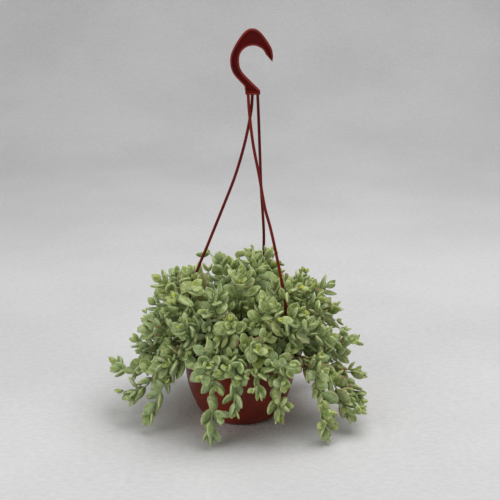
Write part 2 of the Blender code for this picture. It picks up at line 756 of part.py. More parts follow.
def build_hanger(parts, cutters):
    """One moulding: the hook with its web recessed from both faces, the bar, the strands and their knobs."""
    hook = plate("hanger", hook_outline(0), HOOK_THICKNESS, parts)
    recess = (HOOK_THICKNESS - WEB_THICKNESS) / 2
    for side in (-1, 1):
        cutter = plate(f"web_recess_{side + 1}", hook_outline(FLANGE_WIDTH), recess * 2, cutters)
        cutter.location.y += side * HOOK_THICKNESS / 2 * MM
        cutter.hide_render = True
        cutter.display_type = "WIRE"
        cut(hook, cutter)
    hook.data = baked(hook)
    hook.modifiers.clear()
    bar = bmesh.new()
    size = Matrix.Diagonal((*BAR_SIZE, 1))
    bmesh.ops.create_cube(bar, size=1, matrix=Matrix.Translation(BAR_CENTRE) @ size)
    pieces = [new_object("bar", mesh_from("bar", bar), parts)]
    for name, (angle, _) in STRANDS.items():
        path = strand_path(name, STRAND_STEP)
        strand = tube(name, path, [STRAND_RADIUS] * len(path), parts, 1)
        pieces.append(replace_with_mesh(strand))
        knob = bmesh.new()
        middle = POT_HEIGHT - RIM_THICKNESS - GAP - KNOB_HEIGHT / 2
        centre = around(STRAND_CIRCLE, math.radians(angle), middle)
        add_prism(knob, centre, KNOB_RADIUS, KNOB_HEIGHT, HOLE_SIDES)
        pieces.append(new_object(f"{name}_knob", mesh_from(f"{name}_knob", knob), parts))
    join(hook, pieces)
    return hook


def build_stem(stem, leaves, parts):
    """One leafy stem: its tapered stem with the thick leaves joined to it."""
    body = replace_with_mesh(tube(stem.name, stem.points, stem.radii(), parts, 0))
    pieces = []
    for number, leaf in enumerate(leaves):
        bm = bmesh.new()
        corners = [bm.verts.new(corner) for corner in leaf.corners()]
        for face in LEAF_FACES:
            bm.faces.new([corners[index] for index in face])
        name = f"{stem.name}_leaf_{number}"
        pieces.append(new_object(name, mesh_from(name, bm), parts))
    join(body, pieces)
    return body


def finish(obj, material, smooth_angle=None):
    """Gives an object its material and, if round, smooth shading with sharp edges past an angle."""
    obj.data.materials.clear()
    obj.data.materials.append(material)
    if smooth_angle:
        obj.data.shade_smooth()
        obj.data.set_sharp_from_angle(angle=math.radians(smooth_angle))


def main():
    for obj in list(bpy.data.objects):
        bpy.data.objects.remove(obj)
    parts = bpy.data.collections.new("potted_cotyledon")
    cutters = bpy.data.collections.new("cutters")
    cutters.hide_render = True
    for collection in (parts, cutters):
        bpy.context.scene.collection.children.link(collection)

    pot_plastic = new_material("pot_plastic", (0.19, 0.033, 0.022), 0.45)
    hanger_plastic = new_material("hanger_plastic", (0.21, 0.026, 0.018), 0.38)
    soil_fibre = new_material("soil_fibre", (0.035, 0.022, 0.014), 0.95)
    leaf_green = new_material("leaf_green", (0.27, 0.38, 0.2), 0.6)

    stems = lay_stems()
    finish(build_pot(parts, cutters), pot_plastic)
    finish(build_soil(parts, cutters, stems), soil_fibre)
    finish(build_hanger(parts, cutters), hanger_plastic, 40)
    for stem, leaves in zip(stems, grow(stems)):
        finish(build_stem(stem, leaves, parts), leaf_green)


main()
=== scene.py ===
"""Looks of a trailing cotyledon in a moulded hanging pot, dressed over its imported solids.

The pot stands at the origin with -Y to the front and +Z up. Sizes are in millimetres, and MM turns them into
metres where a mesh is made. The plant grows here by the same seeded rule as its solids, so each stem and each
large leaf stands where the frame holds it. Side shoots, lower leaves and buds, too fine for the solids, come
after, wherever they find room.
"""

from __future__ import annotations

import json
import logging
import math
import random
from collections.abc import Iterable, Iterator, Sequence
from dataclasses import dataclass, field
from enum import Enum

import bmesh
import bpy
from mathutils import Matrix, Vector
from mathutils.bvhtree import BVHTree

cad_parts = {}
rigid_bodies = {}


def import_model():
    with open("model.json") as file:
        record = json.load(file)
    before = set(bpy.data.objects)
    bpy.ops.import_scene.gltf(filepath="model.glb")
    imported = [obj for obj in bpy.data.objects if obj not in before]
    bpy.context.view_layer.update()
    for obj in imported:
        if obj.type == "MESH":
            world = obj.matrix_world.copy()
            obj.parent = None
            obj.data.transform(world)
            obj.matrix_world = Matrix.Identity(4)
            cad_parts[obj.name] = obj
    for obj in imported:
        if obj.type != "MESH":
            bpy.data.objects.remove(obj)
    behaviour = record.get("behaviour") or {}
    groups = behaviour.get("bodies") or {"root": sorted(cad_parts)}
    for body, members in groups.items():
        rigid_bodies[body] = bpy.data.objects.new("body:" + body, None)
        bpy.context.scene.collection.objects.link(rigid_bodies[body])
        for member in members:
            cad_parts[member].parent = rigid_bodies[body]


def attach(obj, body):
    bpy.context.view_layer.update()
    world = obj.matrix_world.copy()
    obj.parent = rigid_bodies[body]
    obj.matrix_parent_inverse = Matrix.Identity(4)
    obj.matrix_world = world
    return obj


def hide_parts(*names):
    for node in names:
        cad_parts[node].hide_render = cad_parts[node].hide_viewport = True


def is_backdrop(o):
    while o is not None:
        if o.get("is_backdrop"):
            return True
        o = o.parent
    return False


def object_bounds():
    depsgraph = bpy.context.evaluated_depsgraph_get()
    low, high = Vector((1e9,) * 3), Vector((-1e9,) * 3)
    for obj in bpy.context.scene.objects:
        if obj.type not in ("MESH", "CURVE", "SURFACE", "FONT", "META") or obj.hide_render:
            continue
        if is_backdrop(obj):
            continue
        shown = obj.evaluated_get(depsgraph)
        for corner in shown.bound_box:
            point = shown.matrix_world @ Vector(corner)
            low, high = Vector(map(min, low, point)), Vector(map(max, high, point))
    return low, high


MM = 0.001
GAP = 0.3
UP = Vector((0.0, 0.0, 1.0))
BODY = "root"
SHORT = 0.1
CORNER_SHARE = 0.4
SLEEVE_SIDES = 6

log = logging.getLogger("potted_cotyledon")

Socket = bpy.types.NodeSocket
Tree = bpy.types.NodeTree
Node = bpy.types.Node
Inputs = dict[str | int, object]
Object = bpy.types.Object
BMesh = bmesh.types.BMesh
Material = bpy.types.Material
Line = Sequence[Vector]
Table = Sequence[Sequence[float]]
Span = tuple[float, float]
Triple = tuple[float, float, float]
Colour = tuple[float, float, float]


def interpolate(table: Table, value: float) -> list[float]:
    """Reads a table between its rows.

    Args:
        table: Rows of a key and its values, in the order of the keys.
        value: The key to read at.

    Returns:
        The values at that key.
    """
    for low, high in zip(table, table[1:]):
        if value <= high[0]:
            share = (value - low[0]) / (high[0] - low[0])
            return [a + (b - a) * share for a, b in zip(low[1:], high[1:])]
    return list(table[-1][1:])


def around(radius: float, angle: float, height: float) -> Vector:
    """Places a point round the pot's axis, its angle in radians from +X."""
    return Vector((radius * math.cos(angle), radius * math.sin(angle), height))


def smooth_path(points: Line, step: float) -> list[Vector]:
    """Draws a smooth curve through points.

    Args:
        points: The points to pass through.
        step: Rough distance between two points of the curve.

    Returns:
        The points of the curve.
    """
    knots = [2 * points[0] - points[1], *points, 2 * points[-1] - points[-2]]
    path = []
    for before, start, end, after in zip(knots, knots[1:], knots[2:], knots[3:]):
        parts = max(1, round((end - start).length / step))
        path += [spline_point(before, start, end, after, part / parts) for part in range(parts)]
    path.append(points[-1])
    return path


def spline_point(before: Vector, start: Vector, end: Vector, after: Vector, share: float) -> Vector:
    """Finds a point of a smooth curve between two of its knots.

    Args:
        before: The knot before the stretch.
        start: The knot where the stretch starts.
        end: The knot where it ends.
        after: The knot after it.
        share: How far along the stretch, from 0 to 1.

    Returns:
        The point.
    """
    t = share
    return (
        start
        + (end - before) * (t / 2)
        + (2 * before - 5 * start + 4 * end - after) * (t * t / 2)
        + (3 * start - before - 3 * end + after) * (t**3 / 2)
    )


def line_length(points: Line) -> float:
    """Measures a line of points."""
    return sum((b - a).length for a, b in zip(points, points[1:]))


def point_along(points: Line, distance: float) -> tuple[Vector, Vector]:
    """Walks along a line.

    Args:
        points: The line's points.
        distance: How far to walk.

    Returns:
        The point reached and the line's direction there.
    """
    for start, end in zip(points, points[1:]):
        length = (end - start).length
        if distance <= length:
            return start + (end - start) * (distance / length), (end - start) / length
        distance -= length
    return points[-1].copy(), (points[-1] - points[-2]).normalized()


def cut_before(points: Line, distance: float) -> list[Vector]:
    """Takes the start off a line.

    Args:
        points: The line's points.
        distance: How much of it to take off.

    Returns:
        The rest of the line.
    """
    left = distance
    for index, (start, end) in enumerate(zip(points, points[1:])):
        length = (end - start).length
        if left < length - SHORT:
            return [start + (end - start) * (left / length), *points[index + 1:]]
        left -= length
    return list(points[-2:])


def samples(points: Line, step: float = 1.5) -> list[Vector]:
    """Reads a line's points at an even step."""
    return [point_along(points, step * number)[0] for number in range(int(line_length(points) / step) + 1)]


def near(first: Line, second: Line, least: float) -> bool:
    """Tells whether two sampled lines come closer than a distance."""
    return any((a - b).length_squared < least * least for a in first for b in second)


def turned(vector: Vector, axis: Vector, degrees: float) -> Vector:
    """Turns a vector about an axis."""
    return Matrix.Rotation(math.radians(degrees), 3, axis) @ vector


def sideways(forward: Vector) -> Vector:
    """Finds a level direction square to another.

    Args:
        forward: The other.

    Returns:
        The direction, one unit long. Where the other is upright, any level one.
    """
    across = forward.cross(UP)
    if across.length < SHORT:
        across = forward.cross(Vector((1, 0, 0)))
    return across.normalized()


def outward_at(point: Vector) -> Vector:
    """Finds the level direction out from the pot's axis, shorter than one unit close to it."""
    return Vector((point.x, point.y, 0)) / max(1.0, math.hypot(point.x, point.y))


def leaning(forward: Vector, radial: Vector, angle: float) -> tuple[Vector, Vector]:
    """Leans a leaf away from its stem: returns where it points and where its upper face would look."""
    axis = (forward * math.cos(angle) + radial * math.sin(angle)).normalized()
    return axis, forward * math.sin(angle) - radial * math.cos(angle)


class Wiring:
    """Adds and links the nodes of one tree in few words."""

    def __init__(self, tree: Tree) -> None:
        """Starts on a tree."""
        self.tree = tree

    def set(self, socket: Socket, value: object) -> None:
        """Feeds a socket from another socket, or gives it a plain value.

        Args:
            socket: The input.
            value: A socket to link from, or the value. Three numbers do for a colour.
        """
        if isinstance(value, bpy.types.NodeSocket):
            self.tree.links.new(value, socket)
        elif socket.type == "RGBA":
            socket.default_value = (*value, 1.0)
        else:
            socket.default_value = value

    def feed(self, inputs: bpy.types.NodeInputs, values: Inputs) -> None:
        """Feeds several inputs, each by its name or number."""
        for name, value in values.items():
            self.set(inputs[name], value)

    def add(self, kind: str, inputs: Inputs | None = None, **settings: object) -> Node:
        """Adds a node.

        Args:
            kind: The node's type.
            inputs: Values or sockets for its inputs, by name or number.
            settings: The node's own properties.

        Returns:
            The node.
        """
        node = self.tree.nodes.new(kind)
        for name, value in settings.items():
            setattr(node, name, value)
        self.feed(node.inputs, inputs or {})
        return node

    def math(self, operation: str, first: object, second: object = 0.0, clamp: bool = False) -> Socket:
        """Adds a Math node and returns its value."""
        node = self.add("ShaderNodeMath", {0: first, 1: second}, operation=operation, use_clamp=clamp)
        return node.outputs[0]

    def geometry(self, kind: str, inputs: dict[str, object], **settings: object) -> Socket:
        """Adds a geometry node and returns its first output."""
        return self.add(f"GeometryNode{kind}", inputs, **settings).outputs[0]

    def times(self, first: object, second: object, clamp: bool = False) -> Socket:
        """Multiplies two values and returns the product."""
        return self.math("MULTIPLY", first, second, clamp)

    def plus(self, first: object, second: object, clamp: bool = False) -> Socket:
        """Adds two values and returns the sum."""
        return self.math("ADD", first, second, clamp)

    def ease(self, value: object, low: float, high: float, start: float = 0.0, end: float = 1.0) -> Socket:
        """Maps a value smoothly from one range to another and returns it."""
        inputs = {"Value": value, "From Min": low, "From Max": high, "To Min": start, "To Max": end}
        return self.add("ShaderNodeMapRange", inputs, interpolation_type="SMOOTHSTEP").outputs["Result"]

    def blend(self, share: object, first: object, second: object) -> Socket:
        """Mixes two colours, each a socket or three numbers, by the share of the second."""
        return self.add("ShaderNodeMix", {0: share, 6: first, 7: second}, data_type="RGBA").outputs[2]

    def noise(self, vector: Socket, scale: object, detail: float = 3.0, roughness: float = 0.55) -> Socket:
        """Adds a noise pattern and returns its value from 0 to 1."""
        inputs = {"Vector": vector, "Scale": scale, "Detail": detail, "Roughness": roughness}
        return self.add("ShaderNodeTexNoise", inputs).outputs[0]

    def attribute(self, name: str) -> Socket:
        """Reads a number that each point of the mesh carries."""
        return self.add("ShaderNodeAttribute", attribute_name=name).outputs["Fac"]

    def place(self) -> Socket:
        """Reads the place on the object, in metres."""
        return self.add("ShaderNodeTexCoord").outputs["Object"]

    def bump(self, height: Socket, strength: float, depth: float) -> Socket:
        """Turns a height pattern into a normal, with a strength and a depth in metres."""
        inputs = {"Strength": strength, "Distance": depth, "Height": height}
        return self.add("ShaderNodeBump", inputs).outputs["Normal"]

    def group(self, tree: Tree, inputs: dict[str, object]) -> bpy.types.NodeOutputs:
        """Adds a shader group.

        Args:
            tree: The group's tree.
            inputs: Values or sockets for its inputs.

        Returns:
            Its outputs.
        """
        node = self.add("ShaderNodeGroup", node_tree=tree)
        self.feed(node.inputs, inputs)
        return node.outputs


def new_group(name: str, kind: str, inputs: dict[str, str], outputs: dict[str, str]) -> tuple:
    """Starts a group of nodes.

    Args:
        name: The group's name.
        kind: Shader or Geometry.
        inputs: The kinds of its input sockets, by their names.
        outputs: The kinds of its output sockets, by their names.

    Returns:
        The group, a wiring for it, the sockets that it starts from and those that it ends in.
    """
    tree = bpy.data.node_groups.new(name, f"{kind}NodeTree")
    for way, sockets in (("INPUT", inputs), ("OUTPUT", outputs)):
        for label, socket_kind in sockets.items():
            tree.interface.new_socket(label, in_out=way, socket_type=f"NodeSocket{socket_kind}")
    given = tree.nodes.new("NodeGroupInput").outputs
    return tree, Wiring(tree), given, tree.nodes.new("NodeGroupOutput").inputs


def powder_group() -> Tree:
    """Builds the pale powder that covers leaves and young stems, rubbed off here and there.

    Returns:
        The tree.
    """
    patch_size = 0.006
    rubbed = (0.36, 0.62)
    speck_scale = 1900.0
    speckled = (0.34, 0.48)
    inputs = {"Skin": "Color", "Powder": "Color", "Amount": "Float"}
    outputs = {"Colour": "Color", "Cover": "Float"}
    tree, wiring, given, result = new_group("powdery bloom", "Shader", inputs, outputs)
    place = wiring.place()
    patches = wiring.noise(place, 1 / patch_size, 4.0, 0.5)
    specks = wiring.ease(wiring.noise(place, speck_scale, 2.0), *speckled)
    cover = wiring.times(wiring.times(wiring.ease(patches, *rubbed), specks), given["Amount"], clamp=True)
    wiring.feed(result, {"Colour": wiring.blend(cover, given["Skin"], given["Powder"]), "Cover": cover})
    return tree


def moulding_group() -> Tree:
    """Builds the surface of moulded plastic: uneven tone, fine dust and a faint grain.

    Returns:
        The tree.
    """
    tone_scale = 38.0
    toned = (0.3, 0.7)
    shadow = (0.02, 0.006, 0.005)
    dust_scale = 420.0
    dusted = (0.46, 0.72)
    grain_scale = 900.0
    inputs = {"Plastic": "Color", "Dust": "Color", "Dust Amount": "Float", "Roughness": "Float"}
    outputs = {"Colour": "Color", "Roughness": "Float", "Height": "Float"}
    tree, wiring, given, result = new_group("moulded plastic", "Shader", inputs, outputs)
    place = wiring.place()
    tone = wiring.noise(place, tone_scale)
    shaded = wiring.blend(wiring.ease(tone, *toned, 0.0, 0.35), given["Plastic"], shadow)
    dust = wiring.times(wiring.ease(wiring.noise(place, dust_scale, 5.0, 0.7), *dusted), given["Dust Amount"])
    rough = wiring.plus(given["Roughness"], wiring.ease(tone, *toned, -0.06, 0.1))
    wiring.feed(result, {
        "Colour": wiring.blend(dust, shaded, given["Dust"]),
        "Roughness": wiring.plus(rough, wiring.times(dust, 0.5), clamp=True),
        "Height": wiring.noise(place, grain_scale, 3.0, 0.6),
    })
    return tree


def new_material(name: str) -> tuple[Material, Wiring, bpy.types.NodeInputs]:
    """Starts a material.

    Args:
        name: Its name.

    Returns:
        The material, a wiring for its tree and its shader's inputs.
    """
    material = bpy.data.materials.new(name)
    material.use_nodes = True
    wiring = Wiring(material.node_tree)
    return material, wiring, material.node_tree.nodes["Principled BSDF"].inputs


@dataclass(frozen=True)
class LeafFinish:
    """Skin of a thick leaf: matte grey-green under pale powder, lemon when young, browned at some edges."""

    green: Colour = (0.19, 0.265, 0.045)
    grey: Colour = (0.26, 0.35, 0.12)
    lemon: Colour = (0.58, 0.64, 0.03)
    powder: Colour = (0.66, 0.75, 0.37)
    cool_powder: Colour = (0.45, 0.56, 0.35)
    edge: Colour = (0.72, 0.76, 0.4)
    blush: Colour = (0.25, 0.11, 0.05)
    roughness: float = 0.5
    roughness_range: Span = (-0.12, 0.16)
    sheen: float = 0.15
    sheen_tint: Colour = (0.85, 0.95, 0.8)
    translucence: float = 0.08
    glow: Triple = (0.6, 1.0, 0.25)
    glow_depth: float = 0.0025
    gloss: float = 0.32
    mottle_scale: float = 210.0
    stain_scale: float = 160.0
    grain_scale: float = 620.0
    grain_depth: float = 0.0004

    def skin(self, wiring: Wiring, place: Socket) -> Socket:
        """Mixes the bare skin: green or grey by its tint, lemon when young and at the root.

        Args:
            wiring: The wiring of the material.
            place: The place on the leaf.

        Returns:
            The colour.
        """
        mottle = wiring.ease(wiring.noise(place, self.mottle_scale), 0.3, 0.7, -0.2, 0.2)
        skin = wiring.blend(wiring.plus(wiring.attribute("tint"), mottle, clamp=True), self.green, self.grey)
        skin = wiring.blend(wiring.ease(wiring.attribute("age"), 0.5, 0.04), skin, self.lemon)
        return wiring.blend(wiring.ease(wiring.attribute("along"), 0.22, 0.0, 0.0, 0.45), skin, self.lemon)

    def stains(self, wiring: Wiring, place: Socket) -> Socket:
        """Maps the brown stains, strongest along the margin and at the tip.

        Args:
            wiring: The wiring of the material.
            place: The place on the leaf.

        Returns:
            How much of the stain shows, from 0 to 1.
        """
        margin = wiring.ease(wiring.attribute("margin"), 0.1, 0.9, 0.15, 1.0)
        tip = wiring.ease(wiring.attribute("along"), 0.86, 1.0, 0.0, 0.5)
        worn = wiring.times(wiring.plus(margin, tip), wiring.attribute("blush"))
        patches = wiring.ease(wiring.noise(place, self.stain_scale, 2.0), 0.38, 0.62)
        return wiring.times(worn, patches, clamp=True)

    def material(self, powder: Tree) -> Material:
        """Makes the material.

        Args:
            powder: The powdery bloom group.

        Returns:
            The material, which reads age, tint, blush, margin and along from the mesh.
        """
        material, wiring, shader = new_material("leaf_skin")
        place = wiring.place()
        cool = wiring.ease(wiring.attribute("tint"), 0.1, 0.8)
        dust = wiring.group(powder, {
            "Skin": self.skin(wiring, place),
            "Powder": wiring.blend(cool, self.powder, self.cool_powder),
            "Amount": wiring.ease(wiring.attribute("age"), 0.1, 0.4, 0.08, 0.66),
        })
        rim = wiring.ease(wiring.attribute("margin"), 0.62, 0.96, 0.0, 0.62)
        colour = wiring.blend(rim, dust["Colour"], self.edge)
        smoothest, roughest = (self.roughness + change for change in self.roughness_range)
        wiring.feed(shader, {
            "Base Color": wiring.blend(self.stains(wiring, place), colour, self.blush),
            "Roughness": wiring.ease(dust["Cover"], 0.0, 0.6, smoothest, roughest),
            "Normal": wiring.bump(wiring.noise(place, self.grain_scale, 4.0, 0.6), 0.35, self.grain_depth),
            "Subsurface Weight": self.translucence,
            "Subsurface Radius": self.glow,
            "Subsurface Scale": self.glow_depth,
            "Sheen Weight": self.sheen,
            "Sheen Roughness": 0.5,
            "Sheen Tint": self.sheen_tint,
            "Specular IOR Level": self.gloss,
        })
        return material


@dataclass(frozen=True)
class StemFinish:
    """Bark of a stem: pale green near the tip, brown and ringed further down."""

    young: Colour = (0.3, 0.38, 0.15)
    old: Colour = (0.16, 0.12, 0.06)
    powder: Colour = (0.42, 0.48, 0.33)
    roughness: float = 0.62
    streak_scale: float = 500.0
    grain_scale: float = 1300.0
    grain_depth: float = 0.0004

    def material(self, powder: Tree) -> Material:
        """Makes the material.

        Args:
            powder: The powdery bloom group.

        Returns:
            The material, which reads age from the mesh.
        """
        material, wiring, shader = new_material("stem_bark")
        place = wiring.place()
        streaks = wiring.ease(wiring.noise(place, self.streak_scale), 0.35, 0.65, -0.15, 0.15)
        age = wiring.plus(wiring.ease(wiring.attribute("age"), 0.15, 0.9), streaks, clamp=True)
        dust = wiring.group(powder, {
            "Skin": wiring.blend(age, self.young, self.old),
            "Powder": self.powder,
            "Amount": wiring.ease(age, 0.0, 0.9, 0.5, 0.12),
        })
        wiring.feed(shader, {
            "Base Color": dust["Colour"],
            "Normal": wiring.bump(wiring.noise(place, self.grain_scale, 2.0), 0.5, self.grain_depth),
            "Roughness": self.roughness,
        })
        return material


@dataclass(frozen=True)
class PlasticFinish:
    """Moulded plastic in one colour."""

    name: str
    colour: Colour
    roughness: float
    dust_amount: float
    gloss: float = 0.28
    grain: float = 0.12
    grain_depth: float = 0.0003
    dust: Colour = (0.3, 0.13, 0.09)

    def material(self, moulding: Tree) -> Material:
        """Makes the material.

        Args:
            moulding: The moulded plastic group.

        Returns:
            The material.
        """
        material, wiring, shader = new_material(self.name)
        surface = wiring.group(moulding, {
            "Plastic": self.colour,
            "Dust": self.dust,
            "Dust Amount": self.dust_amount,
            "Roughness": self.roughness,
        })
        wiring.feed(shader, {
            "Base Color": surface["Colour"],
            "Roughness": surface["Roughness"],
            "Normal": wiring.bump(surface["Height"], self.grain, self.grain_depth),
            "Specular IOR Level": self.gloss,
        })
        return material


@dataclass(frozen=True)
class SoilFinish:
    """Dark potting soil with pale fibres and grit."""

    dark: Colour = (0.018, 0.011, 0.007)
    brown: Colour = (0.075, 0.043, 0.024)
    grit: Colour = (0.3, 0.25, 0.19)
    roughness: float = 0.95
    clod_scale: float = 260.0
    grit_scale: float = 1100.0
    crumb_scale: float = 420.0
    crumb_depth: float = 0.0012

    def material(self) -> Material:
        """Makes the material.

        Returns:
            The material.
        """
        material, wiring, shader = new_material("soil_crumb")
        place = wiring.place()
        clods = wiring.ease(wiring.noise(place, self.clod_scale, 5.0, 0.65), 0.36, 0.66)
        specks = wiring.ease(wiring.noise(place, self.grit_scale, 2.0), 0.66, 0.72)
        wiring.feed(shader, {
            "Base Color": wiring.blend(specks, wiring.blend(clods, self.dark, self.brown), self.grit),
            "Normal": wiring.bump(wiring.noise(place, self.crumb_scale, 6.0, 0.7), 0.8, self.crumb_depth),
            "Roughness": self.roughness,
        })
        return material


@dataclass(frozen=True)
class ClothFinish:
    """Plain pale backdrop with a faint weave that runs across it, and a painted shadow at the pot's foot."""

    pale: Colour = (0.75, 0.745, 0.745)
    shade: Colour = (0.57, 0.565, 0.57)
    # Painted shadow at the pot's foot: contact shade and the pot's reddish bounce light, with its reach in
    # metres.
    dust: Colour = (0.3, 0.17, 0.12)
    painted_shadow_reach: Span = (0.044, 0.105)
    roughness: float = 0.95
    gloss: float = 0.1
    stretch: Triple = (0.6, 1.0, 1.0)
    cloud_scale: float = 3.0
    thread_scale: float = 190.0
    thread_depth: float = 0.001
    # Size of the specks that break up the painted shadow.
    dust_scale: float = 240.0

    def material(self) -> Material:
        """Makes the material.

        Returns:
            The material.
        """
        material, wiring, shader = new_material("backdrop_cloth")
        place = wiring.place()
        across = wiring.add("ShaderNodeMapping", {"Vector": place, "Scale": self.stretch}).outputs[0]
        threads = wiring.noise(across, self.thread_scale, 4.0, 0.65)
        patterns = (wiring.noise(place, self.cloud_scale), threads)
        tone = wiring.plus(*(wiring.ease(pattern, 0.3, 0.7, 0.0, 0.35) for pattern in patterns))
        level = {0: place, 1: (1.0, 1.0, 0.0)}
        flat = wiring.add("ShaderNodeVectorMath", level, operation="MULTIPLY").outputs[0]
        away = wiring.add("ShaderNodeVectorMath", {0: flat}, operation="LENGTH").outputs["Value"]
        # Painted shadow: near the pot's axis the cloth turns warm brown in specks, fading out by the far end
        # of the reach.
        specks = wiring.ease(wiring.noise(place, self.dust_scale, 5.0, 0.7), 0.5, 0.68, 0.35, 1.0)
        dust = wiring.times(wiring.ease(away, *self.painted_shadow_reach, 0.9, 0.0), specks)
        wiring.feed(shader, {
            "Base Color": wiring.blend(dust, wiring.blend(tone, self.pale, self.shade), self.dust),
            "Normal": wiring.bump(threads, 0.25, self.thread_depth),
            "Roughness": self.roughness,
            "Specular IOR Level": self.gloss,
        })
        return material


def new_object(name: str, data: bpy.types.ID) -> Object:
    """Makes an object in the scene, at the origin.

    Args:
        name: Its name.
        data: Its mesh, light or camera.

    Returns:
        The object.
    """
    obj = bpy.data.objects.new(name, data)
    bpy.context.scene.collection.objects.link(obj)
    return obj


def mesh_from(name: str, bm: BMesh, scale: float = MM, tidy: bool = True) -> bpy.types.Mesh:
    """Makes a mesh from a bmesh.

    Args:
        name: The mesh's name.
        bm: The bmesh, which is used up.
        scale: What to scale it by.
        tidy: Whether to turn the faces outwards.

    Returns:
        The mesh.
    """
    bmesh.ops.scale(bm, vec=(scale, scale, scale), verts=bm.verts)
    if tidy:
        bmesh.ops.recalc_face_normals(bm, faces=bm.faces)
    mesh = bpy.data.meshes.new(name)
    bm.to_mesh(mesh)
    bm.free()
    return mesh


def baked(obj: Object) -> Object:
    """Turns an object with modifiers into a plain mesh object of the same name.

    Args:
        obj: The object, which is used up.

    Returns:
        The plain object, with its faces turned outwards.
    """
    bpy.context.view_layer.update()
    mesh = bpy.data.meshes.new_from_object(obj.evaluated_get(bpy.context.evaluated_depsgraph_get()))
    name = obj.name
    bpy.data.objects.remove(obj)
    bm = bmesh.new()
    bm.from_mesh(mesh)
    bmesh.ops.recalc_face_normals(bm, faces=bm.faces)
    bm.to_mesh(mesh)
    bm.free()
    mesh.name = name
    return new_object(name, mesh)


def smooth(obj: Object, degrees: float) -> None:
    """Shades an object smooth, with sharp edges past an angle."""
    obj.data.shade_smooth()
    obj.data.set_sharp_from_angle(angle=math.radians(degrees))


def bevelled(obj: Object, width: float) -> Object:
    """Rounds an object's sharp edges.

    Args:
        obj: The object, which is used up.
        width: Width of the rounding in millimetres.

    Returns:
        The rounded object, shaded smooth.
    """
    edges = obj.modifiers.new("Edges", "BEVEL")
    edges.width = width * MM
    edges.segments = 3
    edges.limit_method = "ANGLE"
    edges.angle_limit = math.radians(40)
    obj = baked(obj)
    smooth(obj, 35)
    return obj


def dress(obj: Object, materials: Sequence[Material], slot: str, *nodes: str) -> None:
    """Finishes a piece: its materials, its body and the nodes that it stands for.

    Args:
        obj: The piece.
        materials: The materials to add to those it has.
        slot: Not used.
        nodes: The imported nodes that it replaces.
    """
    for material in materials:
        obj.data.materials.append(material)
    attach(obj, BODY)
    if nodes:
        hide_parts(*nodes)
    log.info("%s: %d faces", obj.name, len(obj.data.polygons))


def add_post(
    bm: BMesh, centre: Vector, radius: float, height: float, sides: int = 32, taper: float = 1.0,
) -> None:
    """Adds an upright round post to a bmesh.

    Args:
        bm: The bmesh.
        centre: The post's middle.
        radius: Its radius at the foot.
        height: Its height.
        sides: How many sides it has.
        taper: Its radius at the top as a share of that at the foot.
    """
    bmesh.ops.create_cone(
        bm, cap_ends=True, segments=sides, radius1=radius, radius2=radius * taper, depth=height,
        matrix=Matrix.Translation(centre),
    )


def join_rings(bm: BMesh, rings: Sequence[list], sides: int) -> None:
    """Joins rings of corners with faces.

    Args:
        bm: The bmesh that holds the corners.
        rings: The rings in order. One with a single corner closes to a point.
        sides: Faces round a ring.
    """
    for first, second in zip(rings, rings[1:]):
        for step in range(sides):
            corners = [
                first[step % len(first)], first[(step + 1) % len(first)],
                second[(step + 1) % len(second)], second[step % len(second)],
            ]
            bm.faces.new(list(dict.fromkeys(corners)))


def lathe(name: str, profile: Sequence[Span], sides: int) -> Object:
    """Turns a closed shape about the pot's axis.

    Args:
        name: The object's name.
        profile: Radius and height of each corner, from the axis round to the axis.
        sides: Steps round the axis.

    Returns:
        The object.
    """
    bm = bmesh.new()
    rings = []
    for radius, height in profile:
        count = 1 if radius == 0 else sides
        rings.append([bm.verts.new(around(radius, math.tau * step / sides, height)) for step in range(count)])
    join_rings(bm, rings, sides)
    return new_object(name, mesh_from(name, bm))


def rounded(profile: Sequence[Span], radius: float, steps: int) -> list[Span]:
    """Rounds the corners of a turned profile.

    Args:
        profile: Its corners. The first and last stay.
        radius: Size of the rounding, made smaller where the sides are short.
        steps: Pieces of each rounding.

    Returns:
        The corners of the rounded profile.
    """
    points = [Vector(corner) for corner in profile]
    made = [tuple(points[0])]
    for before, corner, after in zip(points, points[1:], points[2:]):
        back = before - corner
        ahead = after - corner
        reach = min(radius, back.length * CORNER_SHARE, ahead.length * CORNER_SHARE)
        start = corner + back.normalized() * reach
        end = corner + ahead.normalized() * reach
        for step in range(steps + 1):
            share = step / steps
            made.append(tuple(start.lerp(corner, share).lerp(corner.lerp(end, share), share)))
    made.append(tuple(points[-1]))
    return made


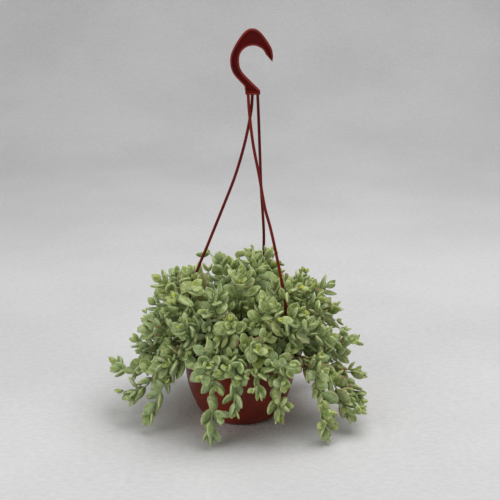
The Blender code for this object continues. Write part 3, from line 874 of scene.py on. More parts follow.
@dataclass
class Pot:
    """A thin-walled round pot with a turned-down rim, and drain holes through its base."""

    outside: tuple = ((67.6, 84.0), (65.4, 51.0), (62.9, 37.0), (58.3, 23.6), (53.4, 11.8), (49.0, 4.2))
    base_radius: float = 43.5
    height: float = 86.2
    wall: float = 1.3
    floor: float = 1.6
    rim_radius: float = 75.0
    rim_edge: float = 0.8
    skirt_height: float = 6.4
    rounding: float = 2.4
    floor_inset: float = 0.2
    skirt_thickness: float = 1.4
    rim_thickness: float = 2.2
    sides: int = 144
    drain_holes: int = 6
    drain_radius: float = 3.0
    drain_circle: float = 28.0
    strand_angles: tuple[float, ...] = (-163.0, -43.0, 77.0)
    strand_radius: float = 2.15
    strand_circle: float = 70.5
    clearance: float = 1.5
    rim_band: float = 11.0
    rim_clearance: float = 3.0
    floor_clearance: float = 0.5
    finish: PlasticFinish = PlasticFinish("pot_plastic_skin", (0.21, 0.021, 0.007), 0.44, 0.06)

    def inner_wall(self) -> list[Span]:
        """Works out the inside from the floor up, the outside moved in by the wall.

        Returns:
            Radii and heights.
        """
        wall = []
        outside = [(self.base_radius, 0.0), *reversed(self.outside)]
        for before, here, after in zip(outside, outside[1:], outside[2:] + [outside[-1]]):
            slope = Vector((after[0] - before[0], after[1] - before[1])).normalized()
            wall.append((here[0] - slope.y * self.wall, here[1] + slope.x * self.wall))
        return wall

    def in_way(self, point: Vector) -> bool:
        """Tells whether a point is in the floor, in the pot's wall or in its mouth.

        Args:
            point: The point.

        Returns:
            True where it is.
        """
        radius = math.hypot(point.x, point.y)
        if point.z < self.floor_clearance:
            return True
        if point.z > self.height + self.clearance:
            return False
        if point.z > self.height - self.skirt_height - 2 * self.clearance:
            return radius < self.rim_radius + self.clearance
        wall = [(0.0, self.outside[-1][0])] + [(z, r) for r, z in reversed(self.outside)]
        return radius < interpolate(wall, point.z)[0] + self.clearance

    def profile(self) -> list[Span]:
        """Draws the turned outline, from the floor's middle up the inside and down the outside.

        Returns:
            Radii and heights.
        """
        wall = self.inner_wall()
        under = self.height - self.rim_thickness
        skirt = self.rim_radius - self.skirt_thickness
        low = self.height - self.skirt_height
        profile = [(0, self.floor), (self.base_radius - self.floor_inset, self.floor), *wall[:-1]]
        profile += [(wall[-1][0], self.height), (self.rim_radius - self.rim_edge, self.height)]
        profile += [(self.rim_radius, self.height - self.rim_edge)]
        profile += [(self.rim_radius + self.rim_edge / 2, low)]
        profile += [(skirt, low), (skirt, under), (self.outside[0][0], under), *self.outside[1:]]
        return profile + [(self.base_radius, 0), (0, 0)]

    def build(self, moulding: Tree) -> None:
        """Makes the pot in place of its solid.

        Args:
            moulding: The moulded plastic group.
        """
        pot = lathe("fine_pot", rounded(self.profile(), self.rounding, 4), self.sides)
        holes = bmesh.new()
        for number in range(self.drain_holes):
            place = around(self.drain_circle, math.tau * number / self.drain_holes, self.floor / 2)
            add_post(holes, place, self.drain_radius, 4 * self.floor)
        for angle in self.strand_angles:
            place = around(self.strand_circle, math.radians(angle), self.height - self.rim_thickness / 2)
            add_post(holes, place, self.strand_radius, 4 * self.floor)
        cutter = new_object("hole_cutter", mesh_from("hole_cutter", holes))
        cut = pot.modifiers.new("Holes", "BOOLEAN")
        cut.operation = "DIFFERENCE"
        cut.solver = "EXACT"
        cut.object = cutter
        pot = baked(pot)
        bpy.data.objects.remove(cutter)
        smooth(pot, 32)
        dress(pot, [self.finish.material(moulding)], "pot_plastic", "pot")


@dataclass
class Hanger:
    """One moulding: a flat hook with a recessed web, a bar and three strands that clip into the pot's rim."""

    pot: Pot
    throat: Triple = (14.5, 0.0, 425.6)
    thickness: float = 6.4
    web: float = 2.4
    flange: float = 2.0
    web_slope: float = 0.5
    outline_step: float = 1.3
    hook_bevel: float = 0.6
    outside: tuple = (
        (22.0, -1.5), (22.8, 5.4), (20.0, 15.3), (8.7, 30.6), (-0.6, 34.6), (-9.2, 30.6),
        (-19.8, 15.6), (-24.8, 1.6), (-21.8, -14.0), (-9.1, -28.8),
    )
    foot: tuple = ((-7.8, -38.0), (8.2, -38.0))
    inside: tuple = ((8.2, -33.6), (-0.9, -24.7), (-9.2, -16.2), (-12.6, -11.5), (-14.4, -6.5))
    throat_radius: float = 15.4
    arc_centre: Span = (0.5, 0.9)
    arc: Span = (180.0, -160.0)
    arc_steps: int = 8
    bar_size: Triple = (15.8, 7.0, 4.6)
    bar_centre: Triple = (15.2, 0.0, 389.4)
    lip_size: Triple = (12.6, 7.5, 1.3)
    lip_centre: Triple = (16.2, 0.0, 388.3)
    bar_bevel: float = 0.7
    strand_radius: float = 1.7
    strand_room: float = 1.5
    strand_sides: int = 14
    strand_circle: float = 70.5
    strand_upright: float = 14.0
    knob_radius: float = 2.5
    knob_height: float = 3.0
    collar_radius: float = 2.1
    collar_height: float = 2.2
    clip_taper: float = 0.86
    test_step: float = 12.0
    fine_step: float = 3.0
    strands: dict = field(default_factory=lambda: {
        "left": (-163.0, [(14.5, 2, 389), (12.8, 0.5, 367), (5.5, -2, 331), (-5.4, -5, 294), (-19.8, -8, 257),
                          (-35.5, -11, 218), (-53.0, -15, 174), (-64.5, -19, 126)]),
        "front": (-43.0, [(9.5, -2, 389), (10.9, -5, 368), (15.1, -10, 333), (22.1, -16, 297),
                          (28.6, -21, 261), (36.0, -26, 234), (47.3, -34, 181), (53.6, -40, 140)]),
        "back": (77.0, [(20.2, 2.5, 389), (21.2, 7, 366), (22.7, 15, 327), (24.9, 28, 269), (28.4, 43, 203),
                        (24.5, 58, 144)]),
    })
    # One plastic in a lighter copy, a painted highlight on the hook's flanges and the bar's lip, and a darker
    # copy, painted shade in the web's recess that the bar's block shares.
    finish: PlasticFinish = PlasticFinish("hanger_plastic_skin", (0.24, 0.022, 0.014), 0.42, 0.03, 0.26)
    painted_shade_web_finish: PlasticFinish = PlasticFinish("hanger_web_skin", (0.115, 0.003, 0.002), 0.5, 0.01, 0.1)
    strand_finish: PlasticFinish = PlasticFinish("strand_skin", (0.145, 0.006, 0.004), 0.44, 0.02, 0.13)
    # A lighter copy of the strand plastic for the front strand alone: painted light.
    painted_light_strand: PlasticFinish = PlasticFinish("front_strand_skin", (0.18, 0.012, 0.006), 0.42, 0.02, 0.14)

    def strand_path(self, name: str, step: float) -> list[Vector]:
        """Draws a strand from its place in the bar down to the knob under the rim.

        Args:
            name: Which strand.
            step: Rough distance between two points of the path.

        Returns:
            The path.
        """
        angle, points = self.strands[name]
        hole = around(self.strand_circle, math.radians(angle), self.pot.height)
        knob = hole - UP * (self.pot.rim_thickness + GAP + self.knob_height / 2)
        ends = [hole + UP * self.strand_upright, hole, knob]
        return smooth_path([Vector(point) for point in points] + ends, step)

    def controls(self, inset: float) -> list[list[Vector]]:
        """Places the hook's outline, moved in by an inset, as three stretches that meet at sharp corners.

        Args:
            inset: How far to move it in.

        Returns:
            The stretches: the outer edge, the foot, and the inner edge with the throat.
        """
        arc = []
        for step in range(self.arc_steps + 1):
            angle = math.radians(self.arc[0] + self.arc[1] * step / self.arc_steps)
            way = Vector((math.cos(angle), math.sin(angle)))
            arc.append(Vector(self.arc_centre) + self.throat_radius * way)
        outline = [Vector(point) for point in (*self.outside, *self.foot, *self.inside, *arc)]
        moved = []
        for before, here, after in zip(outline[-1:] + outline, outline, outline[1:] + outline[:1]):
            first = (here - before).normalized()
            second = (after - here).normalized()
            inward = (Vector((-first.y, first.x)) + Vector((-second.y, second.x))).normalized()
            moved.append(here + inward * inset)
        outer = len(self.outside)
        inner = outer + len(self.foot)
        return [moved[:outer], moved[outer - 1:inner + 1], moved[inner:]]

    def outline(self, inset: float) -> list[Vector]:
        """Draws the hook's outline, smooth along each stretch.

        Args:
            inset: How far to move it in.

        Returns:
            Its points, as many for every inset.
        """
        found = []
        stretches = self.controls(inset)
        for number, (stretch, model) in enumerate(zip(stretches, self.controls(0.0))):
            curved = number != 1
            knots = [2 * stretch[0] - stretch[1], *stretch, 2 * stretch[-1] - stretch[-2]]
            for index, (start, end) in enumerate(zip(model, model[1:])):
                parts = max(1, round((end - start).length / self.outline_step)) if curved else 1
                found += [spline_point(*knots[index:index + 4], part / parts) for part in range(parts)]
        return found + stretches[-1][-1:]

    def hook(self) -> Object:
        """Makes the hook with its two raised flanges and the bare web between them, the web darker as painted
        shade.

        Returns:
            The hook, with material 0 on its flanges (painted highlight) and 1 on its web (painted shade).
        """
        bm = bmesh.new()
        throat = Vector(self.throat)
        web = (self.outline(self.flange + self.web_slope), self.web)
        lip = (self.outline(self.flange), self.thickness)
        edge = (self.outline(0.0), self.thickness)
        loops = []
        for side, order in ((-1, (web, lip, edge)), (1, (edge, lip, web))):
            for outline, depth in order:
                depth = side * depth / 2
                loops.append([bm.verts.new(throat + Vector((place.x, depth, place.y))) for place in outline])
        for number, (first, second) in enumerate(zip(loops, loops[1:])):
            for index in range(len(first)):
                after = (index + 1) % len(first)
                side = bm.faces.new((first[index], first[after], second[after], second[index]))
                # The sloped walls into the web and, below, the web's faces take material 1: painted shade in
                # the recess.
                side.material_index = int(number in (0, 4))
        for loop in (loops[0], loops[-1]):
            bm.faces.new(loop).material_index = 1
        return bevelled(new_object("fine_hook", mesh_from("fine_hook", bm)), self.hook_bevel)

    def bar(self) -> Object:
        """Makes the bar that the strands leave from.

        Returns:
            The bar, with material 0 on its block and 1 on the thin lip at its foot.
        """
        bm = bmesh.new()
        boxes = ((self.bar_centre, self.bar_size), (self.lip_centre, self.lip_size))
        for number, (centre, sides) in enumerate(boxes):
            place = Matrix.Translation(centre) @ Matrix.Diagonal((*sides, 1))
            made = bmesh.ops.create_cube(bm, size=1, matrix=place)
            for face in {face for corner in made["verts"] for face in corner.link_faces}:
                face.material_index = number
        return bevelled(new_object("strand_bar", mesh_from("strand_bar", bm)), self.bar_bevel)

    def strand(self, name: str, tree: Tree, material: Material) -> Object:
        """Makes one strand along its path.

        Args:
            name: Which strand.
            tree: The strand tree.
            material: Its finish.

        Returns:
            The piece.
        """
        path = self.strand_path(name, self.fine_step)
        mesh = bpy.data.meshes.new(f"strand_{name}")
        edges = [(index, index + 1) for index in range(len(path) - 1)]
        mesh.from_pydata([point * MM for point in path], edges, [])
        strand = new_object(f"strand_{name}", mesh)
        inputs = {"Radius": self.strand_radius * MM, "Sides": self.strand_sides, "Finish": material}
        grow_nodes(strand, tree, inputs)
        return baked(strand)

    def clip(self, name: str, angle: float) -> Object:
        """Makes the clip of one strand: a collar on the rim and a knob under it.

        Args:
            name: Which strand.
            angle: Where it is round the rim, in radians.

        Returns:
            The piece.
        """
        bm = bmesh.new()
        knob = self.pot.height - self.pot.rim_thickness - GAP - self.knob_height / 2
        collar = self.pot.height + GAP + self.collar_height / 2
        for middle, radius, height in (
            (knob, self.knob_radius, self.knob_height), (collar, self.collar_radius, self.collar_height),
        ):
            add_post(bm, around(self.strand_circle, angle, middle), radius, height, 20, self.clip_taper)
        clip = new_object(f"clip_{name}", mesh_from(f"clip_{name}", bm))
        smooth(clip, 35)
        return clip

    def build(self, moulding: Tree) -> None:
        """Makes the hanger in place of its solid.

        Args:
            moulding: The moulded plastic group.
        """
        finishes = (self.finish, self.painted_shade_web_finish, self.painted_light_strand, self.strand_finish)
        flange, web, painted_light_strand, plain = (finish.material(moulding) for finish in finishes)
        # Flanges and the bar's lip take the lighter copy, a painted highlight; the web and the bar's block
        # the darker copy, painted shade.
        dress(self.hook(), [flange, web], "hanger_plastic", "hanger")
        dress(self.bar(), [web, flange], "hanger_plastic")
        tree = strand_tree()
        for name, (angle, _) in self.strands.items():
            # The front strand takes the lighter copy: painted light.
            skin = painted_light_strand if name == "front" else plain
            dress(self.strand(name, tree, skin), [], "hanger_plastic")
            dress(self.clip(name, math.radians(angle)), [plain], "hanger_plastic")


def grow_nodes(obj: Object, tree: Tree, inputs: dict[str, object]) -> None:
    """Gives an object a Geometry Nodes modifier and sets its inputs by their identifiers.

    Args:
        obj: The object.
        tree: The tree.
        inputs: Value of each input, by its name.
    """
    modifier = obj.modifiers.new("Growth", "NODES")
    modifier.node_group = tree
    for item in tree.interface.items_tree:
        if item.in_out == "INPUT" and item.name in inputs:
            modifier[item.identifier] = inputs[item.name]


def strand_tree() -> Tree:
    """Builds the tree that sweeps a round section along a strand's path.

    Returns:
        The tree.
    """
    inputs = {"Geometry": "Geometry", "Radius": "Float", "Sides": "Int", "Finish": "Material"}
    tree, wiring, given, result = new_group("moulded strand", "Geometry", inputs, {"Geometry": "Geometry"})
    line = wiring.geometry("MeshToCurve", {"Mesh": given["Geometry"]})
    section = {"Resolution": given["Sides"], "Radius": given["Radius"]}
    section = wiring.geometry("CurvePrimitiveCircle", section)
    swept = wiring.geometry("CurveToMesh", {"Curve": line, "Profile Curve": section, "Fill Caps": True})
    shaded = wiring.geometry("SetShadeSmooth", {"Geometry": swept})
    solid = wiring.geometry("RealizeInstances", {"Geometry": shaded})
    done = wiring.geometry("SetMaterial", {"Geometry": solid, "Material": given["Finish"]})
    wiring.set(result["Geometry"], done)
    return tree


class LeafKind(Enum):
    """Outlines that a leaf may have, each with its place in the list of leaf shapes."""

    OVATE = 0
    OBOVATE = 1
    ROUND = 2
    FOLDED = 3
    YOUNG = 4


@dataclass(frozen=True)
class LeafForm:
    """Shape of a leaf one unit long, wide and thick: X across, Y from root to tip, Z out of its face."""

    widest: float
    fullness: float
    cup: float
    bend: float
    twist: float
    stations: tuple[float, ...] = (0.05, 0.16, 0.32, 0.5, 0.68, 0.84, 0.95)
    around: int = 8
    upper: float = 0.42
    lower: float = 0.8
    squareness: float = 0.8
    neck_width: float = 0.32
    neck_length: float = 0.24
    deepest: float = 0.82
    root: Triple = (0.0, -0.02, -0.1)
    tip_cup: float = 0.3
    twist_lift: float = 4.0
    margin_power: int = 3

    def neck(self, share: float) -> float:
        """Narrows the leaf towards its root."""
        return min(1.0, self.neck_width + (1 - self.neck_width) * share / self.neck_length)

    def half_width(self, share: float) -> float:
        """Works out half the width at a share of the length."""
        rise = math.log(0.5) / math.log(self.widest)
        return 0.5 * self.neck(share) * math.sin(math.pi * share**rise) ** self.fullness

    def depth(self, share: float) -> float:
        """Works out the thickness at a share of the length."""
        return self.neck(share) * math.sin(math.pi * share**self.deepest) ** 0.5

    def place(self, share: float, across: float, rise: float) -> Vector:
        """Places a point of the leaf.

        Args:
            share: How far along the leaf it is, from 0 to 1.
            across: How far from the middle line, from -1 to 1.
            rise: How far up or down from the edge, from -1 to 1.

        Returns:
            The point.
        """
        x = self.half_width(share) * across
        z = self.depth(share) * rise * (self.upper if rise > 0 else self.lower)
        z += self.cup * self.depth(share) * across * across + self.bend * share * share
        turn = math.radians(self.twist * share)
        return Vector((x * math.cos(turn), share, z + x * math.sin(turn) * self.twist_lift))

    def mesh(self, name: str) -> bpy.types.Mesh:
        """Makes the shape.

        Args:
            name: The mesh's name.

        Returns:
            The mesh, with margin (1 along the edge) and along (0 at the root, 1 at the tip) on its points.
        """
        bm = bmesh.new()
        margins = [0.0]
        alongs = [0.0]
        rings = [[bm.verts.new(self.root)]]
        for share in self.stations:
            ring = []
            for step in range(self.around):
                angle = math.tau * step / self.around
                parts = (math.cos(angle), math.sin(angle))
                across, rise = (math.copysign(abs(part) ** self.squareness, part) for part in parts)
                ring.append(bm.verts.new(self.place(share, across, rise)))
                margins.append(abs(across) ** self.margin_power)
                alongs.append(share)
            rings.append(ring)
        tip_height = self.bend + self.cup * self.tip_cup * self.depth(self.stations[-1])
        rings.append([bm.verts.new((0, 1.0, tip_height))])
        join_rings(bm, rings, self.around)
        mesh = mesh_from(name, bm, 1.0)
        for label, values in (("margin", [*margins, 1.0]), ("along", [*alongs, 1.0])):
            mesh.attributes.new(label, "FLOAT", "POINT").data.foreach_set("value", values)
        mesh.shade_smooth()
        return mesh


LEAF_FORMS = {
    LeafKind.OVATE: LeafForm(0.5, 0.76, 0.12, 0.3, 6.0),
    LeafKind.OBOVATE: LeafForm(0.58, 0.86, 0.1, 0.45, -5.0),
    LeafKind.ROUND: LeafForm(0.54, 0.52, -0.1, -0.2, 4.0),
    LeafKind.FOLDED: LeafForm(0.53, 0.84, 0.5, 0.7, -8.0),
    LeafKind.YOUNG: LeafForm(0.47, 0.86, 0.2, 0.4, 3.0),
}


@dataclass
class Leaf:
    """A thick leaf: where its root sits, which way it points and faces, its size and how it looks."""

    root: Vector
    axis: Vector
    normal: Vector
    length: float
    width: float
    thickness: float
    age: float = 1.0
    tint: float = 0.5
    blush: float = 0.0
    kind: LeafKind = LeafKind.OVATE

    def scale(self, share: float) -> None:
        """Makes the leaf smaller.

        Args:
            share: Its new size as a share of the old one.
        """
        self.length *= share
        self.width *= share
        self.thickness *= share

    def corners(self, margin: float = 0.0) -> list[Vector]:
        """Places the corners of its plain solid.

        Args:
            margin: How far to move them out, and the flat face up.

        Returns:
            Root, left edge, keel, right edge, left shoulder, right shoulder and tip.
        """
        rule = Growth
        side = self.normal.cross(self.axis)
        start = self.root + self.normal * margin
        middle = start + self.axis * (self.length * rule.leaf_widest)
        upper = start + self.axis * (self.length * rule.leaf_shoulder)
        across = side * (self.width / 2 + margin)
        keel = self.normal * (self.thickness + 2 * margin)
        narrow = side * (self.width * rule.shoulder_width / 2 + margin)
        tip = start + self.axis * (self.length + margin)
        root = self.root - self.axis * rule.root_depth
        return [root, middle + across, middle - keel, middle - across, upper + narrow, upper - narrow, tip]


@dataclass(frozen=True)
class Growth:
    """The plant's growth rule, as its solids follow it."""

    seed: int = 41
    dome_stems: int = 40
    dome_pairs: int = 4
    dome_base_radius: float = 45.0
    soil_height: float = 73.5
    soil_edge_height: float = 70.5
    trail_base_radii: Span = (49.5, 54.5)
    trail_crest: Span = (84.0, 99.0)
    trail_rise: Span = (3.0, 19.0)
    trail_fall: float = 0.45
    trail_lifts: Span = (20.0, 8.0)
    golden_angle: float = math.radians(137.508)
    dome_rise: float = 0.42
    dome_rise_lift: float = 0.12
    dome_fall: float = 0.36
    dome_turn: Span = (8.0, 96.0)
    dome_outline: tuple = (
        (0.0, 10, 192), (0.04, 33, 179), (0.085, 50, 188), (0.12, 62, 178), (0.21, 78, 161), (0.27, 88, 158),
        (0.42, 105, 142), (0.62, 117, 116), (0.84, 120, 89), (1.0, 117, 74),
    )
    arm_tips: tuple = (
        ("upper_left", (-94, -5, 168, 55, 4)), ("upper_right", (103, -5, 161, 52, 4)),
        ("upper_front", (68, -58, 146, 54, 4)),
    )
    arm_base_radius: float = 34.0
    reach: tuple = ((-180, 1.0), (-135, 0.93), (-90, 0.84), (-45, 0.93), (0, 1.03), (90, 0.98), (180, 1.0))
    trailing_tips: tuple = (
        ("left_reach", (-146, -14, 58, 98, 6)), ("left_low", (-130, -44, 38, 122, 6)),
        ("left_hang", (-107, -68, 20, 150, 6)), ("front_long", (-33, -103, 13, 168, 6)),
        ("front_middle", (-6, -104, 46, 166, 5)), ("front_right", (45, -95, 36, 165, 4)),
        ("right_hang", (98, -91, 9, 170, 7)), ("right_low", (128, -64, 22, 150, 6)),
        ("right_mid", (139, -40, 34, 134, 5)), ("right_reach", (143, -12, 52, 104, 5)),
        ("back_right", (104, 76, 44, 140, 5)), ("front_near", (22, -99, 66, 152, 4)),
        ("back_middle", (4, 126, 46, 145, 4)), ("back_far", (-86, 98, 34, 150, 5)),
    )
    stem_radii: Span = (0.8, 1.3)
    stem_sink: float = 9.0
    stem_apart: float = 0.6
    stem_taper: float = 1.3
    stem_step: float = 3.0
    sways: tuple = (0, 7, -7, 14, -14, 21, -21)
    lifts: int = 8
    lift_step: float = 0.25
    stem_floor_clearance: float = 4.0
    long_rest: float = 24.0
    bare_foot: float = 6.0
    first_node: float = 3.0
    first_internode: float = 6.5
    internode_growth: float = 2.5
    longest_internode: float = 13.0
    leaf_lengths: tuple = (15.0, 20.0, 23.5, 25.0, 24.0, 23.0, 22.0)
    trailing_stretch: float = 1.2
    trailing_leaves: float = 0.92
    trailing_angles: float = 0.66
    leaf_angles: tuple = (26, 40, 50, 57, 60, 62, 64)
    leaf_width: float = 0.62
    leaf_thickness: float = 0.2
    leaf_widest: float = 0.52
    leaf_shoulder: float = 0.82
    shoulder_width: float = 0.64
    root_depth: float = 0.4
    leaf_tries: int = 12
    stray_spin: Span = (6, 2)
    stray_angle: Span = (5, 2)
    stray_twist: Span = (12, 4)
    size_spread: float = 0.06
    width_spread: float = 0.12
    shrink: float = 0.025
    face_out: float = 0.7
    face_up: float = 0.5
    leaf_apart: float = 0.4
    cell: float = 26.0
    leaf_faces: tuple = (
        (0, 3, 1), (1, 3, 5), (1, 5, 4), (4, 5, 6),
        (0, 1, 2), (0, 2, 3), (1, 4, 2), (4, 6, 2), (6, 5, 2), (5, 3, 2),
    )


RULE = Growth()


class Draws(Enum):
    """What a row of random draws is for, with the number that its seeds start from."""

    TRAILING_STEMS = 0
    UPPER_STEMS = 300
    DOME_STEMS = 500
    SHOOTS = 3000
    BUDS = 7000
    FILLS = 8000
    LOOKS = 9000

    def row(self, number: int) -> random.Random:
        """Starts one of the rows, by its number."""
        return random.Random(RULE.seed * 1000 + self.value + number)


@dataclass
class Stem:
    """A leafy stem or side shoot: its line from the tip down, and what grows on it."""

    name: str
    base: Vector
    tip: Vector
    turn: float
    pairs: int
    rng: random.Random
    hangs: bool
    points: list[Vector] = field(default_factory=list)
    leaves: list[Leaf] = field(default_factory=list)
    shoots: list[Shoot] = field(default_factory=list)
    number: int = 0

    def __post_init__(self) -> None:
        """Draws the stem's own turn and vigour."""
        self.spin = self.rng.uniform(0, math.pi / 2)
        self.vigour = self.rng.uniform(0.92, 1.06) * (RULE.trailing_leaves if self.hangs else 1)

    def curve(self, lift: float, sway: float) -> list[Vector]:
        """Draws the smooth line from the soil to the tip.

        Args:
            lift: How much higher than usual it arches.
            sway: How far it bends sideways.

        Returns:
            The line.
        """
        outward = Vector((self.tip.x, self.tip.y, 0)).normalized()
        side = UP.cross(outward)
        turn = math.radians(self.turn)
        heading = outward * math.sin(turn) + UP * math.cos(turn)
        if self.hangs:
            crest = outward * RULE.trail_crest[0] + side * sway
            crest += UP * (RULE.trail_crest[1] + lift * RULE.trail_lifts[0])
            rise = self.base + outward * RULE.trail_rise[0]
            rise += UP * (RULE.trail_rise[1] + lift * RULE.trail_lifts[1])
            fall = self.tip - heading * (RULE.trail_fall * (self.tip - crest).length) + side * (sway / 2)
            return smooth_path([self.base, rise, crest, fall, self.tip], RULE.stem_step)
        span = (self.tip - self.base).length
        rise = self.base + UP * ((RULE.dome_rise + lift * RULE.dome_rise_lift) * span) + side * sway
        fall = self.tip - heading * (span * RULE.dome_fall) + side * (sway / 2)
        steps = math.ceil(span / RULE.stem_step)
        line = []
        for step in range(steps + 1):
            t = step / steps
            u = 1 - t
            line.append(
                self.base * u**3 + rise * (3 * u * u * t) + fall * (3 * u * t * t) + self.tip * t**3
            )
        return line

    def draw(self, lift: float, sway: float) -> None:
        """Lays the stem as straight pieces on its smooth line, with an upright end in the soil.

        Args:
            lift: How much higher than usual it arches.
            sway: How far it bends sideways.
        """
        curve = self.curve(lift, sway)
        length = line_length(curve)
        marks = [self.node_distance(pair) for pair in range(0, self.pairs + 1, 2)]
        marks[0] = 0.0
        spare = length - marks[-1]
        if spare > RULE.long_rest:
            marks += [marks[-1] + spare / 3, marks[-1] + spare * 2 / 3]
        marks = [mark for mark in marks if mark < length - RULE.stem_step]
        backwards = curve[::-1]
        self.points = [point_along(backwards, mark)[0] for mark in marks]
        self.points += [self.base, self.base - UP * RULE.stem_sink]

    def node_distance(self, pair: int) -> float:
        """Works out how far from the tip a leaf pair grows.

        Args:
            pair: The number of the pair from the tip.

        Returns:
            The distance. Pairs are close together at the tip and further apart below.
        """
        distance = RULE.first_node
        for number in range(pair):
            distance += min(RULE.longest_internode, RULE.first_internode + RULE.internode_growth * number)
        return distance * (RULE.trailing_stretch if self.hangs else 1)

    def length(self) -> float:
        """Measures the stem from its tip to its end in the soil."""
        return line_length(self.points)

    def radius_at(self, share: float) -> float:
        """Works out the radius at a share of the way from the tip to the soil."""
        thin, thick = RULE.stem_radii
        return thin + (thick - thin) * min(1, share * RULE.stem_taper)

    def radii(self) -> list[float]:
        """Works out the radius at each point of the line.

        Returns:
            The radii.
        """
        found = [self.radius_at(0)]
        walked = 0.0
        for start, end in zip(self.points, self.points[1:]):
            walked += (end - start).length
            found.append(self.radius_at(walked / self.length()))
        return found

    def axil(self, pair: int, side: int) -> float:
        """Works out the direction of a leaf or a side shoot round the stem, in degrees."""
        return math.degrees(self.spin) + 90 * (pair % 2) + 180 * side

    def has_node(self, pair: int) -> bool:
        """Tells whether a leaf pair's node is above the bare foot."""
        return self.node_distance(pair) <= self.length() - RULE.stem_sink - RULE.bare_foot

    def fine_line(self, step: float) -> list[Vector]:
        """Draws the line for the eye: smooth, through every node where leaves grow.

        Args:
            step: Rough distance between two points of the line.

        Returns:
            The line.
        """
        marks = [0.0]
        pair = 0
        while self.has_node(pair):
            marks.append(self.node_distance(pair))
            pair += 1
        ends = [self.points[-2], self.points[-1].lerp(self.points[-2], 0.4)]
        return smooth_path([point_along(self.points, mark)[0] for mark in marks] + ends, step)


@dataclass
class Shoot:
    """A short side shoot that leaves a stem in the axil of a leaf."""

    points: list[Vector]
    radius: float
    age: float


def over_rim(pot: Pot, points: Iterable[Vector]) -> bool:
    """Tells whether a line leaves the pot clear of its rim.

    Args:
        pot: The pot.
        points: The line's points.

    Returns:
        Whether it is clear of the rim, and of the floor outside it.
    """
    inside = pot.rim_radius - pot.rim_band - pot.rim_clearance
    for point in points:
        radius = math.hypot(point.x, point.y)
        if inside < radius < pot.rim_radius + pot.rim_clearance and point.z < pot.height + pot.rim_clearance:
            return False
        if radius >= pot.rim_radius and point.z < RULE.stem_floor_clearance:
            return False
    return True


def tube_cage(points: Line, radii: Sequence[float], margin: float) -> tuple[list, list]:
    """Wraps a sleeve round a line, to test leaves against.

    Args:
        points: The line.
        radii: Its radius at each point.
        margin: How far outside it the sleeve lies.

    Returns:
        The sleeve's corners and faces.
    """
    corners = []
    faces = []
    for index, (point, radius) in enumerate(zip(points, radii)):
        ahead = points[min(index + 1, len(points) - 1)] - points[max(index - 1, 0)]
        turn = ahead.to_track_quat("Z", "Y")
        for side in range(SLEEVE_SIDES):
            angle = side * math.pi / (SLEEVE_SIDES / 2)
            reach = (radius + margin) / math.cos(math.pi / SLEEVE_SIDES)
            corners.append(point + turn @ Vector((math.cos(angle) * reach, math.sin(angle) * reach, 0)))
    for ring in range(len(points) - 1):
        for side in range(SLEEVE_SIDES):
            a = ring * SLEEVE_SIDES + side
            b = ring * SLEEVE_SIDES + (side + 1) % SLEEVE_SIDES
            faces.append((a, b, b + SLEEVE_SIDES, a + SLEEVE_SIDES))
    return corners, faces


def midpoints(corners: Line) -> list[Vector]:
    """Finds the points halfway along a leaf's long edges."""
    pairs = ((0, 1), (0, 2), (0, 3), (1, 3), (2, 6), (1, 4), (3, 5), (4, 6), (5, 6))
    return [(corners[a] + corners[b]) / 2 for a, b in pairs]


class Room:
    """What is already in place, for telling whether a leaf has room."""

    def __init__(self, hanger: Hanger, stems: Sequence[Stem]) -> None:
        """Puts the stems and the strands in place.

        Args:
            hanger: The hanger, with its strands and its pot.
            stems: The stems.
        """
        corners: list[Vector] = []
        faces: list[tuple] = []
        self.pot = hanger.pot
        self.owners: list[int] = []
        tubes = [(stem.points, stem.radii()) for stem in stems]
        for name in hanger.strands:
            path = hanger.strand_path(name, hanger.test_step)
            tubes.append((path, [hanger.strand_room] * len(path)))
        for owner, (points, radii) in enumerate(tubes):
            new_corners, new_faces = tube_cage(points, radii, RULE.leaf_apart)
            first = len(corners)
            corners += new_corners
            faces += [tuple(first + corner for corner in face) for face in new_faces]
            self.owners += [owner] * len(new_faces)
        self.tubes = BVHTree.FromPolygons(corners, faces)
        self.cells: dict[tuple, list] = {}

    def cell_of(self, leaf: Leaf) -> tuple[int, ...]:
        """Finds the cell that holds a leaf's middle."""
        middle = leaf.root + leaf.axis * (leaf.length / 2)
        return tuple(math.floor(value / RULE.cell) for value in middle)

    def near_cells(self, leaf: Leaf) -> Iterator[tuple[int, ...]]:
        """Goes through a leaf's cell and the cells that touch it.

        Args:
            leaf: The leaf.

        Returns:
            The cells.
        """
        x, y, z = self.cell_of(leaf)
        steps = (-1, 0, 1)
        return ((x + a, y + b, z + c) for a in steps for b in steps for c in steps)

    def takes(
        self, leaf: Leaf, owner: int, pair: int, apart: float = RULE.leaf_apart, own: float = 0.0,
    ) -> bool:
        """Tells whether a leaf is clear of the pot, the floor, the strands, the stems and other leaves.

        Args:
            leaf: The leaf.
            owner: The number of its stem.
            pair: The number of its pair. A leaf isn't tested against the other of its pair.
            apart: How far it keeps from what isn't its stem's. Below 0 it may press in that far.
            own: The same, for leaves of its own stem.

        Returns:
            Whether it has room.
        """
        outer = leaf.corners(apart)
        if any(self.pot.in_way(corner) for corner in outer + midpoints(outer)):
            return False
        shape = BVHTree.FromPolygons(outer, RULE.leaf_faces)
        if any(self.owners[hit] != owner for _, hit in shape.overlap(self.tubes)):
            return False
        inner = BVHTree.FromPolygons(leaf.corners(own), RULE.leaf_faces)
        for cell in self.near_cells(leaf):
            for other, other_owner, other_pair in self.cells.get(cell, ()):
                if other_owner == owner and other_pair == pair:
                    continue
                if (inner if other_owner == owner else shape).overlap(other):
                    return False
        return True

    def add(self, leaf: Leaf, owner: int, pair: int) -> None:
        """Puts a leaf in place."""
        tree = BVHTree.FromPolygons(leaf.corners(), RULE.leaf_faces)
        self.cells.setdefault(self.cell_of(leaf), []).append((tree, owner, pair))


